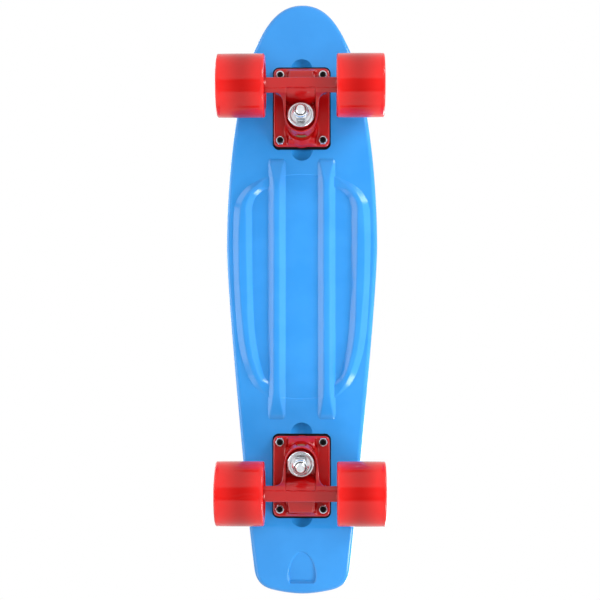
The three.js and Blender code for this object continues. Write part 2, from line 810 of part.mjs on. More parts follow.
function wings() {
  const face = axle_offset - bar_width / 2;
  const half = yoke_width / 2;
  const shape = new THREE.Shape();
  shape.moveTo(-half - wing_reach, face + bar_bevel);
  shape.lineTo(-half - wing_reach, face);
  shape.quadraticCurveTo(-half, face, -half, face - wing_reach);
  shape.lineTo(-half + yoke_wall, face - wing_reach);
  shape.lineTo(-half + yoke_wall, face + bar_bevel);
  shape.closePath();
  const height = bar_below_axle + bar_above_axle - bar_bevel - bar_lower_bevel * 2;
  const bottom = -axle_drop - bar_below_axle + bar_lower_bevel * 2;
  const left = slab(shape, bottom, height);
  const right = left.clone().rotateY(Math.PI).translate(0, 0, 2 * bottom + height);
  return [left, right];
}

function pivotNose() {
  const tip = pivot_nose_diameter / 2;
  return onPivot(turned([
    [0, ring_bore_diameter / 2 + yoke_wall],
    [pivot_root_diameter / 2, ring_bore_diameter / 2 + yoke_wall],
    [pivot_root_diameter / 2, pivot_reach / 2],
    [tip, pivot_reach - pivot_nose_grip],
    [tip, pivot_reach],
    [tip * Math.SQRT1_2, pivot_reach + tip * Math.SQRT1_2],
    [0, pivot_reach + tip],
  ], cup_facets));
}

function web() {
  const outboard = axle_offset + bar_width / 2 - bar_lower_bevel;
  const root = pivot_reach - pivot_nose_grip - pivot_root_diameter / 2;
  return across([
    [ring_centre.y + pivot_root_diameter, ring_centre.z + board_lip],
    [axle_offset - bar_width / 2, -axle_drop],
    [outboard, -axle_drop],
    [outboard - bar_bevel / 2, -axle_drop + bar_above_axle],
    [
      ring_centre.y + root * pivot_direction.y,
      ring_centre.z + root * pivot_direction.z - pivot_nose_diameter / 4,
    ],
    [ring_centre.y + pivot_root_diameter, ring_centre.z + pivot_root_diameter * pivot_direction.z],
  ], web_thickness);
}

function hanger() {
  const added = [barEnds(), yoke(), pivotNose(), web(), ...wings()];
  const axle_hole = bore(axle_diameter / 2 + bore_gap, -hanger_width, hanger_width, shaft_facets);
  axle_hole.rotateY(Math.PI / 2).translate(0, axle_offset, -axle_drop);
  return combine(hangerBar(), added, [yokePocket(), axle_hole]);
}

// Kingpin stack, each piece along Z with the road side down

function kingpin() {
  const shank = rod(kingpin_diameter / 2, -kingpin_end, -kingpin_head_start - kingpin_end_chamfer,
    shaft_facets, kingpin_end_chamfer);
  const head_end = -kingpin_head_start - kingpin_head_height;
  return combine(shank, [hexagon(kingpin_hex, head_end, -kingpin_head_start, kingpin_end_chamfer)]);
}

function kingpinNut() {
  const end = -kingpin_nut_start - kingpin_nut_height;
  const nut = hexagon(kingpin_hex, end, -kingpin_nut_start, kingpin_nut_chamfer);
  const hole = bore(kingpin_diameter / 2 + bore_gap, -kingpin_end - cut_overrun, 0, shaft_facets);
  return combine(nut, [], [hole]);
}

// A cupped washer; its rim turns towards the bushing, up the kingpin or down it
function cupWasher(start, diameter, rim_direction) {
  const inner = kingpin_diameter / 2 + 2 * bore_gap;
  const outer = diameter / 2;
  const flat = outer - washer_lip;
  const near = -start;
  const far = -start - washer_thickness;
  const [dished, faced] = rim_direction > 0 ? [near, far] : [far, near];
  const lip = rim_direction > 0 ? dished - seat_gap : dished + seat_gap;
  const points = [
    [inner, faced],
    [flat, faced],
    [outer, (faced + dished) / 2],
    [outer, dished],
    [flat, lip],
    [inner, lip],
    [inner, faced],
  ];
  if (rim_direction < 0) points.reverse();
  return turned(points, cup_facets);
}

function bushing(start, height, diameter) {
  const inner = kingpin_diameter / 2 + bore_gap;
  const outer = diameter / 2;
  const bottom = -start - height;
  return turned([
    [inner, bottom],
    [outer - bushing_edge, bottom],
    [outer, bottom + bushing_edge],
    [outer - bushing_waist, bottom + height / 2],
    [outer, -start - bushing_edge],
    [outer - bushing_edge, -start],
    [inner, -start],
    [inner, bottom],
  ], cup_facets);
}

// Pieces on the axle, each with its axis along Z

function axle() {
  return rod(axle_diameter / 2, -axle_length / 2, axle_length / 2, shaft_facets);
}

function axleNut() {
  const nut = hexagon(axle_nut_hex, -axle_nut_height / 2, axle_nut_height / 2);
  const hole = bore(axle_diameter / 2 + bore_gap, -axle_nut_height, axle_nut_height, shaft_facets);
  return combine(nut, [], [hole]);
}

function tube(inner_radius, outer_radius, length, facets) {
  const inside = inner_radius / Math.cos(Math.PI / facets);
  return turned([
    [inside, -length / 2],
    [outer_radius, -length / 2],
    [outer_radius, length / 2],
    [inside, length / 2],
    [inside, -length / 2],
  ], facets);
}

// A sealed bearing, its shielded face upwards
function bearing() {
  const inside = (axle_diameter / 2 + bore_gap) / Math.cos(Math.PI / bearing_facets);
  const outer = bearing_diameter / 2;
  const half = bearing_width / 2;
  return turned([
    [inside, -half],
    [outer, -half],
    [outer, half],
    [bearing_shield_diameter / 2, half],
    [bearing_shield_diameter / 2, half - bearing_shield_depth],
    [bearing_race_diameter / 2, half - bearing_shield_depth],
    [bearing_race_diameter / 2, half],
    [inside, half],
    [inside, -half],
  ], bearing_facets);
}

// The flats of the facets lie at the wheel's radii, so that it stands on the ground
function wheel() {
  const half = wheel_width / 2;
  const rim = wheel_radius - wheel_edge_radius;
  const seat = bearing_diameter / 2 + bore_gap;
  const seat_face = (bearing_pitch + bearing_width) / 2 + seat_gap;
  const shoulder = (bearing_pitch - bearing_width) / 2 - seat_gap;
  const side = [
    [wheel_core_diameter / 2, shoulder],
    [seat, shoulder],
    [seat, seat_face],
    [wheel_hub_diameter / 2, seat_face],
    [wheel_face_diameter / 2, half],
    [rim, half],
    [wheel_radius - wheel_edge_radius / 4, half - wheel_edge_radius / 3],
    [wheel_radius, half - wheel_edge_radius],
  ];
  const corner_share = 1 / Math.cos(Math.PI / wheel_facets);
  const above = side.map(([radius, height]) => [radius * corner_share, height]);
  const below = above.map(([radius, height]) => [radius, -height]);
  return turned([...below, ...above.reverse(), below[0]], wheel_facets);
}

// Assembly

const board = new THREE.Group();

function addPiece(parent, name, geometry, finish) {
  const [color, roughness, metalness] = materials[finish];
  const mesh = new THREE.Mesh(geometry, new THREE.MeshStandardMaterial({ color, roughness, metalness }));
  mesh.name = name;
  parent.add(mesh);
  return mesh;
}

function addOnAxle(parent, name, geometry, finish, x) {
  const mesh = addPiece(parent, name, geometry, finish);
  mesh.position.set(x, axle_offset, -axle_drop);
  mesh.rotation.y = Math.PI / 2;
  return mesh;
}

function addTruck(end, place, turn) {
  const truck = new THREE.Group();
  truck.position.set(0, place, underside);
  truck.rotation.z = turn;
  board.add(truck);
  addPiece(truck, `${end}_riser_pad`, riserPad(), 'rubber');
  addPiece(truck, `${end}_baseplate`, baseplate(), 'red_paint');
  addPiece(truck, `${end}_hanger`, hanger(), 'red_paint');

  const cup = addPiece(truck, `${end}_pivot_cup`, pivotCup(), 'cup');
  cup.position.copy(pivot_centre);
  cup.rotation.x = pivot_rise - Math.PI / 2;

  const stack = new THREE.Group();
  stack.position.set(0, -kingpin_inset, 0);
  stack.rotation.x = kingpin_lean;
  truck.add(stack);
  addPiece(stack, `${end}_kingpin`, kingpin(), 'zinc');
  addPiece(stack, `${end}_kingpin_nut`, kingpinNut(), 'zinc');
  addPiece(stack, `${end}_board_side_washer`,
    cupWasher(board_washer_start, board_washer_diameter, -1), 'yellow_zinc');
  addPiece(stack, `${end}_road_side_washer`, cupWasher(road_washer_start, road_washer_diameter, 1), 'zinc');
  addPiece(stack, `${end}_board_side_bushing`,
    bushing(board_bushing_start, board_bushing_height, board_bushing_diameter), 'bushing');
  addPiece(stack, `${end}_road_side_bushing`,
    bushing(road_bushing_start, road_bushing_height, road_bushing_diameter), 'bushing');

  addOnAxle(truck, `${end}_axle`, axle(), 'steel', 0);
  for (const dx of [-1, 1]) {
    const side = dx * Math.cos(turn) < 0 ? 'left' : 'right';
    const name = `${end}_${side}`;
    addOnAxle(truck, `${name}_wheel`, wheel(), 'wheel', dx * wheel_place);
    const inner = addOnAxle(truck, `${name}_inner_bearing`, bearing(), 'steel', dx * inner_bearing_place);
    const outer = addOnAxle(truck, `${name}_outer_bearing`, bearing(), 'steel', dx * outer_bearing_place);
    inner.rotation.y *= -dx;
    outer.rotation.y *= dx;
    const on_axle = axle_diameter / 2 + bore_gap;
    const spacer = tube(on_axle, spacer_diameter / 2, spacer_length, bolt_facets);
    addOnAxle(truck, `${name}_bearing_spacer`, spacer, 'steel', dx * wheel_place);
    for (const [where, x] of [['inner', inner_ring_place], ['outer', outer_ring_place]]) {
      const ring = tube(on_axle, speed_ring_diameter / 2, speed_ring_thickness, bolt_facets);
      addOnAxle(truck, `${name}_${where}_speed_ring`, ring, 'zinc', dx * x);
    }
    addOnAxle(truck, `${name}_axle_nut`, axleNut(), 'zinc', dx * axle_nut_place);
  }
}

addPiece(board, 'deck', deck(), 'deck').position.z = underside;
for (const { name, x, y } of boltPlaces()) {
  addPiece(board, name, mountingBolt(), 'zinc').position.set(x, y, underside + deck_thickness);
}
addTruck('front', front_truck_place, 0);
addTruck('rear', -rear_truck_place, Math.PI);

export default board;
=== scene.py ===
"""Looks of a small plastic cruiser skateboard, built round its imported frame.

Sizes are written in millimetres and become metres where a mesh is made. Each truck is modelled once,
in its own frame: +Y outboard, +Z up, the origin in the middle of its bolts on the deck's underside.
"""

import logging
import math
from collections.abc import Callable, Sequence
from dataclasses import dataclass
from enum import Enum

import bmesh
import bpy
from mathutils import Matrix, Vector


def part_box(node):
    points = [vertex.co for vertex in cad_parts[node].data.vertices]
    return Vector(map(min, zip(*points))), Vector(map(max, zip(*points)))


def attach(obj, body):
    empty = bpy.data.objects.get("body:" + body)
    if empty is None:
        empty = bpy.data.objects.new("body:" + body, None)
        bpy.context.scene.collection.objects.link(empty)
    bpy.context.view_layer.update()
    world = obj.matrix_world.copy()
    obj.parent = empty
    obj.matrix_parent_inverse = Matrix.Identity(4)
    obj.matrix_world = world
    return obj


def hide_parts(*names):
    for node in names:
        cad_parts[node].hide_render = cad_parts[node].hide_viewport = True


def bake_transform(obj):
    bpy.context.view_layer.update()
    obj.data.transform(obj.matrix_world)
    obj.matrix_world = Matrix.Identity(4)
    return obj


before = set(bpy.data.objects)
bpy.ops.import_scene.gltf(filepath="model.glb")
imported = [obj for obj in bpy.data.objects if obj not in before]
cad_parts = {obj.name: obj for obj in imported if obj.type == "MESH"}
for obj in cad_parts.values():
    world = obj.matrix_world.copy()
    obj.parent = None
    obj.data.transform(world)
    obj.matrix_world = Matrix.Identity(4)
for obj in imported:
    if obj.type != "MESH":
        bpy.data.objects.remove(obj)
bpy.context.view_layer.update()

log = logging.getLogger("cruiser")
MM = 0.001
TINY = 1e-6
Point = tuple[float, float]
Triple = tuple[float, float, float]
Piece = bpy.types.Object
Socket = bpy.types.NodeSocket


class Operation(Enum):
    """What a boolean does with a piece and others."""

    JOIN = "UNION"
    CUT = "DIFFERENCE"
    KEEP = "INTERSECT"


class Rides(Enum):
    """Which kind of body a piece moves with."""

    BOARD = "board"
    SWING = "swing"
    ROLLER = "roller"


# Selecting, editing and placing pieces


def only(*pieces: Piece) -> None:
    """Deselects everything, then selects the given pieces and makes the first one active."""
    bpy.ops.object.select_all(action="DESELECT")
    for piece in pieces:
        piece.select_set(True)
    if pieces:
        bpy.context.view_layer.objects.active = pieces[0]


def enter(piece: Piece) -> None:
    """Opens a piece in edit mode with all of it selected."""
    only(piece)
    bpy.ops.object.mode_set(mode="EDIT")
    bpy.ops.mesh.select_all(action="SELECT")


def leave() -> None:
    """Goes back to object mode."""
    bpy.ops.object.mode_set(mode="OBJECT")


def pick_faces(wanted: Callable[[bmesh.types.BMFace], bool]) -> int:
    """Selects the faces of the piece in edit mode that pass a test.

    Args:
        wanted: the test of one face.

    Returns:
        How many faces were selected.
    """
    bpy.ops.mesh.select_mode(type="FACE")
    bpy.ops.mesh.select_all(action="DESELECT")
    mesh = bpy.context.edit_object.data
    shape = bmesh.from_edit_mesh(mesh)
    shape.normal_update()
    chosen = [face for face in shape.faces if wanted(face)]
    for face in chosen:
        face.select_set(True)
    bmesh.update_edit_mesh(mesh)
    return len(chosen)


def named(name: str) -> Piece:
    """Names the object that an operator has just added."""
    piece = bpy.context.object
    piece.name = name
    piece.data.name = name
    return piece


def put(piece: Piece, place: Matrix) -> Piece:
    """Moves a piece by a matrix and applies it, so that its place is in its mesh."""
    piece.matrix_world = place @ piece.matrix_world
    only(piece)
    bpy.ops.object.transform_apply(location=True, rotation=True, scale=True)
    return piece


def copied(piece: Piece, name: str) -> Piece:
    """A copy of a piece with a mesh of its own."""
    twin = piece.copy()
    twin.data = piece.data.copy()
    twin.name = name
    twin.data.name = name
    bpy.context.scene.collection.objects.link(twin)
    return twin


def shift(x: float, y: float, z: float) -> Matrix:
    """A move by millimetres."""
    return Matrix.Translation(Vector((x, y, z)) * MM)


def turn(degrees: float, axis: str) -> Matrix:
    """A turn about a main axis through the origin."""
    return Matrix.Rotation(math.radians(degrees), 4, axis)


# Profiles and outlines


def rounded(corners: Sequence[Triple], steps: int = 4, closed: bool = True) -> list[Point]:
    """Replaces the corners of an outline by arcs.

    Args:
        corners: x, y and radius of each corner.
        steps: chords in each arc.
        closed: whether the last corner joins the first; the ends of an open line stay sharp.

    Returns:
        The points of the outline.
    """
    points: list[Point] = []
    count = len(corners)
    for i, (x, y, radius) in enumerate(corners):
        here = Vector((x, y))
        if radius <= 0 or (not closed and i in (0, count - 1)):
            points.append((x, y))
            continue
        back = (Vector(corners[i - 1][:2]) - here).normalized()
        ahead = (Vector(corners[(i + 1) % count][:2]) - here).normalized()
        half = back.angle(ahead) / 2
        if half > math.pi / 2 - TINY:
            points.append((x, y))
            continue
        centre = here + (back + ahead).normalized() * (radius / math.sin(half))
        start = here + back * (radius / math.tan(half)) - centre
        side = 1 if back.x * ahead.y - back.y * ahead.x < 0 else -1
        for step in range(steps + 1):
            angle = side * (math.pi - 2 * half) * step / steps
            spoke = Vector((
                start.x * math.cos(angle) - start.y * math.sin(angle),
                start.x * math.sin(angle) + start.y * math.cos(angle),
            ))
            points.append(tuple(centre + spoke))
    return points


def rectangle(width: float, length: float, corner: float, steps: int = 6) -> list[Point]:
    """The outline of a rectangle with round corners, about the origin."""
    x, y = width / 2, length / 2
    return rounded([(x, -y, corner), (x, y, corner), (-x, y, corner), (-x, -y, corner)], steps)


def bezier(start: Point, first: Point, second: Point, end: Point, steps: int) -> list[Point]:
    """Points on a cubic curve, without its start."""
    points = []
    for step in range(1, steps + 1):
        t = step / steps
        weights = ((1 - t) ** 3, 3 * t * (1 - t) ** 2, 3 * t * t * (1 - t), t ** 3)
        pairs = list(zip(weights, (start, first, second, end)))
        points.append((sum(w * p[0] for w, p in pairs), sum(w * p[1] for w, p in pairs)))
    return points


def arc(centre: Point, radius: float, start: float, end: float, steps: int) -> list[Point]:
    """Points on an arc between two angles in degrees, with both its ends."""
    angles = [math.radians(start + (end - start) * step / steps) for step in range(steps + 1)]
    return [(centre[0] + radius * math.cos(angle), centre[1] + radius * math.sin(angle)) for angle in angles]


def quadratic(start: Point, middle: Point, end: Point, steps: int = 8) -> list[Point]:
    """Points on a quadratic curve, with both its ends."""
    shares = [step / steps for step in range(steps + 1)]
    return [tuple((1 - t) ** 2 * a + 2 * t * (1 - t) * b + t * t * c for a, b, c in zip(start, middle, end))
            for t in shares]


def smooth_path(points: Sequence[Point], parts: Sequence[int]) -> list[Vector]:
    """Points on a centripetal curve through the given ones.

    Args:
        points: the points that the curve passes.
        parts: how many steps each span between two of them is divided into.

    Returns:
        One more point than steps.
    """
    knots = [Vector(p) for p in points]
    knots = [2 * knots[0] - knots[1], *knots, 2 * knots[-1] - knots[-2]]
    path = [knots[1]]
    for (a, b, c, d), count in zip(zip(knots, knots[1:], knots[2:], knots[3:]), parts):
        before, span, after = (max((q - p).length, TINY) ** 0.5 for p, q in ((a, b), (b, c), (c, d)))
        leaving = ((b - a) / before - (c - a) / (before + span) + (c - b) / span) * span
        arriving = ((c - b) / span - (d - b) / (span + after) + (d - c) / after) * span
        for step in range(1, count + 1):
            t = step / count
            path.append(b * (2 * t ** 3 - 3 * t * t + 1) + leaving * (t ** 3 - 2 * t * t + t)
                        + c * (3 * t * t - 2 * t ** 3) + arriving * (t ** 3 - t * t))
    return path


# Solids

TURNED_SHARE = 0.97


def loft(name: str, rings: Sequence[Sequence[Sequence[float]]]) -> Piece:
    """A closed skin through rings of equal count: a filled circle, extruded once for each ring.

    Args:
        name: what the piece is called.
        rings: the points of each ring, in millimetres.

    Returns:
        The new piece.
    """
    only()
    bpy.ops.mesh.primitive_circle_add(vertices=len(rings[0]), radius=MM, fill_type="NGON")
    piece = named(name)
    enter(piece)
    for _ in rings[1:]:
        bpy.ops.mesh.extrude_region_move()
    leave()
    places = [value * MM for ring in rings for point in ring for value in point]
    piece.data.vertices.foreach_set("co", places)
    return outward(piece)


def outward(piece: Piece) -> Piece:
    """Merges doubled points and turns every face outwards."""
    enter(piece)
    bpy.ops.mesh.remove_doubles(threshold=TINY)
    bpy.ops.mesh.normals_make_consistent(inside=False)
    leave()
    return piece


def prism(name: str, outline: Sequence[Point], low: float, high: float,
          place: Matrix = Matrix.Identity(4)) -> Piece:
    """An outline in X and Y, extruded along Z between two heights, then placed."""
    rings = [[(x, y, z) for x, y in outline] for z in (low, high)]
    return put(loft(name, rings), place)


ACROSS = Matrix(((0, 0, 1, 0), (1, 0, 0, 0), (0, 1, 0, 0), (0, 0, 0, 1)))


def across(name: str, profile: Sequence[Point], width: float) -> Piece:
    """A side profile of (outboard, height) pairs, extruded across the board."""
    return prism(name, profile, -width / 2, width / 2, ACROSS)


def lathe(name: str, profile: Sequence[Point], sides: int, place: Matrix = Matrix.Identity(4)) -> Piece:
    """A body of revolution about Z, spun from a profile.

    Args:
        name: what the piece is called.
        profile: (radius, height) pairs, from axis to axis, or closed on themselves off the axis.
        sides: facets round the axis.
        place: where it goes.

    Returns:
        The new piece.
    """
    only()
    bpy.ops.mesh.primitive_circle_add(vertices=len(profile), radius=MM)
    piece = named(name)
    for vertex, (radius, height) in zip(piece.data.vertices, profile):
        vertex.co = Vector((radius, 0, height)) * MM
    enter(piece)
    if profile[0][0] == 0 and profile[-1][0] == 0:
        bpy.ops.mesh.select_mode(type="EDGE")
        bpy.ops.mesh.select_all(action="DESELECT")
        shape = bmesh.from_edit_mesh(piece.data)
        for edge in shape.edges:
            edge.select_set(all(vertex.co.x < TINY for vertex in edge.verts))
        bmesh.update_edit_mesh(piece.data)
        bpy.ops.mesh.delete(type="EDGE")
        bpy.ops.mesh.select_all(action="SELECT")
    bpy.ops.mesh.spin(steps=sides, angle=2 * math.pi, center=(0, 0, 0), axis=(0, 0, 1))
    leave()
    return put(outward(piece), place)


def rod(name: str, radius: float, low: float, high: float, place: Matrix = Matrix.Identity(4),
        sides: int = 40) -> Piece:
    """A plain cylinder along Z between two heights."""
    only()
    bpy.ops.mesh.primitive_cylinder_add(
        vertices=sides, radius=radius * MM, depth=(high - low) * MM, location=(0, 0, (low + high) / 2 * MM))
    return put(named(name), place)


def boolean(piece: Piece, others: Sequence[Piece], operation: Operation) -> Piece:
    """Joins, cuts or intersects a piece with others, which are used up."""
    for other in others:
        finish_modifier(piece, "BOOLEAN", operation=operation.value, solver="MANIFOLD", object=other)
        bpy.data.objects.remove(other)
    return piece


def hexagon(name: str, flats: float, low: float, high: float, chamfer: float, top: bool = True,
            bottom: bool = True) -> Piece:
    """A hexagonal prism with its corners turned off at one or both ends."""
    corner = flats / math.sqrt(3)
    points = [(corner * math.cos(k * math.pi / 3), corner * math.sin(k * math.pi / 3)) for k in range(6)]
    piece = prism(name, points, low, high)
    start = flats / 2 * TURNED_SHARE
    reach = corner + 1
    rise = chamfer / (corner - start) * (reach - start)
    profile = [(0, low)]
    profile += [(start, low), (reach, low + rise)] if bottom else [(reach, low)]
    profile += [(reach, high - rise), (start, high)] if top else [(reach, high)]
    profile.append((0, high))
    return boolean(piece, [lathe("turning", profile, 48)], Operation.KEEP)


def lock_nut(body: Piece, collar: Sequence[Point], hole: Piece, sides: int = 48) -> Piece:
    """A nut's hexagon joined to its rolled collar and bored."""
    boolean(body, [lathe("collar", collar, sides)], Operation.JOIN)
    return boolean(body, [hole], Operation.CUT)


def finish_modifier(piece: Piece, kind: str, **settings: object) -> Piece:
    """Adds one modifier with its settings and applies it."""
    only(piece)
    modifier = piece.modifiers.new(kind.lower(), kind)
    for key, value in settings.items():
        setattr(modifier, key, value)
    bpy.ops.object.modifier_apply(modifier=modifier.name)
    return piece


def soften(piece: Piece, width: float, segments: int = 2, angle: float = 30) -> Piece:
    """Rounds the edges that turn by more than an angle."""
    return finish_modifier(piece, "BEVEL", width=width * MM, segments=segments, limit_method="ANGLE",
                           angle_limit=math.radians(angle), use_clamp_overlap=True)


def cast(piece: Piece, voxel: float, passes: int) -> Piece:
    """Melts joined solids into one casting with small fillets."""
    finish_modifier(piece, "REMESH", mode="VOXEL", voxel_size=voxel * MM)
    return finish_modifier(piece, "SMOOTH", factor=0.5, iterations=passes)


def shade(piece: Piece, angle: float = 35, weighted: bool = False) -> Piece:
    """Shades a piece smooth up to an angle, with flat faces kept flat if weighted."""
    only(piece)
    bpy.ops.object.shade_smooth_by_angle(angle=math.radians(angle))
    if weighted:
        finish_modifier(piece, "WEIGHTED_NORMAL", keep_sharp=True, weight=80)
    return piece


def dress(piece: Piece, finish: "Finish", body: str, slot: str, *nodes: str) -> Piece:
    """Gives a piece its material, the body it rides on and the nodes it stands for."""
    piece.data.materials.clear()
    piece.data.materials.append(finish.material())
    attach(piece, body)
    if nodes:
        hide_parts(*nodes)
    log.info("%s rides on %s, %d faces", piece.name, body, len(piece.data.polygons))
    return piece


# Shader nodes


class Graph:
    """A node tree with short ways to add and join its nodes."""

    def __init__(self, tree: bpy.types.NodeTree) -> None:
        """Args:
            tree: the node tree to work in.
        """
        self.tree = tree

    def feed(self, socket: Socket, value: object) -> None:
        """Links a socket from another one, or sets its value."""
        if isinstance(value, Socket):
            self.tree.links.new(value, socket)
        else:
            socket.default_value = value

    def add(self, kind: str, settings: dict[str, object] | None = None, **inputs: object) -> bpy.types.Node:
        """Adds a node, with its settings, and its inputs as values or as sockets to link from."""
        node = self.tree.nodes.new(kind)
        for key, value in (settings or {}).items():
            setattr(node, key, value)
        for key, value in inputs.items():
            self.feed(node.inputs[key.replace("_", " ")], value)
        return node

    def row(self, kind: str, *values: object, **settings: object) -> bpy.types.Node:
        """Adds a node with its settings, and feeds its inputs in their order."""
        node = self.add(kind, settings)
        for socket, value in zip(node.inputs, values):
            self.feed(socket, value)
        return node

    def math(self, operation: str, *values: object) -> Socket:
        """The result of a Math node."""
        return self.row("ShaderNodeMath", *values, operation=operation).outputs[0]

    def mix(self, share: object, low: object, high: object) -> Socket:
        """A mix of two colours by a share."""
        node = self.add("ShaderNodeMix", {"data_type": "RGBA"})
        for index, value in ((0, share), (6, low), (7, high)):
            self.feed(node.inputs[index], value)
        return node.outputs[2]

    def ramp(self, value: Socket, low: float, high: float, start: float = 0, end: float = 1) -> Socket:
        """A value mapped from one range to another, smoothly and clamped."""
        node = self.add("ShaderNodeMapRange", {"interpolation_type": "SMOOTHSTEP"}, Value=value, From_Min=low,
                        From_Max=high, To_Min=start, To_Max=end)
        return node.outputs["Result"]

    def shaded(self, share: Socket, first: Socket, second: Socket) -> Socket:
        """A mix of two shaders by a share."""
        return self.row("ShaderNodeMixShader", share, first, second).outputs[0]


def colour(hex_code: str) -> tuple[float, float, float, float]:
    """A linear colour from its written code."""
    parts = [int(hex_code[i:i + 2], 16) / 255 for i in (1, 3, 5)]
    linear = [c / 12.92 if c <= 0.04045 else ((c + 0.055) / 1.055) ** 2.4 for c in parts]
    return (*linear, 1.0)


Filler = Callable[[Graph, bpy.types.bpy_prop_collection], Sequence[Socket]]


def shared_group(
    name: str, inputs: dict[str, float], outputs: Sequence[str], fill: Filler,
) -> bpy.types.NodeTree:
    """A node group, built the first time that it is asked for.

    Args:
        name: what the group is called.
        inputs: its inputs, and their values while nothing feeds them.
        outputs: its outputs.
        fill: adds its nodes, from the inputs' sockets, and gives what feeds the outputs.

    Returns:
        The group's tree.
    """
    if name in bpy.data.node_groups:
        return bpy.data.node_groups[name]
    tree = bpy.data.node_groups.new(name, "ShaderNodeTree")
    for label, default in inputs.items():
        socket = tree.interface.new_socket(label, in_out="INPUT", socket_type="NodeSocketFloat")
        socket.default_value = default
    for label in outputs:
        tree.interface.new_socket(label, in_out="OUTPUT", socket_type="NodeSocketFloat")
    graph = Graph(tree)
    sources = tree.nodes.new("NodeGroupInput").outputs
    graph.row("NodeGroupOutput", *fill(graph, sources))
    return tree


def fill_grain(graph: Graph, source: bpy.types.bpy_prop_collection) -> Sequence[Socket]:
    """Slow flow marks and fine grain."""
    place = graph.add("ShaderNodeTexCoord").outputs["Object"]
    squeeze = graph.add("ShaderNodeCombineXYZ", X=1.0, Y=source["Stretch"], Z=1.0).outputs[0]
    stretched = graph.row("ShaderNodeVectorMath", place, squeeze, operation="MULTIPLY").outputs[0]
    scale = source["Flow Scale"]
    flow = graph.add("ShaderNodeTexNoise", Vector=stretched, Scale=scale, Detail=3.0, Roughness=0.5)
    scale = source["Grain Scale"]
    grain = graph.add("ShaderNodeTexNoise", Vector=place, Scale=scale, Detail=2.0, Roughness=0.6)
    return flow.outputs["Fac"], grain.outputs["Fac"]


def fill_marks(graph: Graph, source: bpy.types.bpy_prop_collection) -> Sequence[Socket]:
    """Hairline handling marks, in patches."""
    place = graph.add("ShaderNodeTexCoord").outputs["Object"]
    warp = graph.add("ShaderNodeTexNoise", Vector=place, Scale=9.0, Detail=1.0).outputs["Color"]
    moved = graph.row("ShaderNodeVectorMath", warp, (0.08,) * 3, place, operation="MULTIPLY_ADD").outputs[0]
    edges = {"feature": "DISTANCE_TO_EDGE"}
    lines = graph.add("ShaderNodeTexVoronoi", edges, Vector=moved, Scale=source["Scale"])
    thin = graph.ramp(lines.outputs["Distance"], 0.0, 0.02, 1.0, 0.0)
    patches = graph.add("ShaderNodeTexNoise", Vector=place, Scale=35.0, Detail=2.0).outputs["Fac"]
    some = graph.ramp(patches, 0.55, 0.7)
    return [graph.math("MULTIPLY", graph.math("MULTIPLY", thin, some), source["Amount"])]


def fill_core_shade(graph: Graph, source: bpy.types.bpy_prop_collection) -> Sequence[Socket]:
    """Painted shade: a share that is highest in the middle of a wheel's width, where less light comes through
    the urethane round the core.
    """
    place = graph.add("ShaderNodeSeparateXYZ", Vector=graph.add("ShaderNodeTexCoord").outputs["Object"])
    out = graph.math("SUBTRACT", graph.math("ABSOLUTE", place.outputs["X"]), source["Place"])
    share = graph.math("DIVIDE", graph.math("ABSOLUTE", out), source["Reach"])
    return [graph.ramp(share, 0.0, 1.0, 1.0, 0.0)]


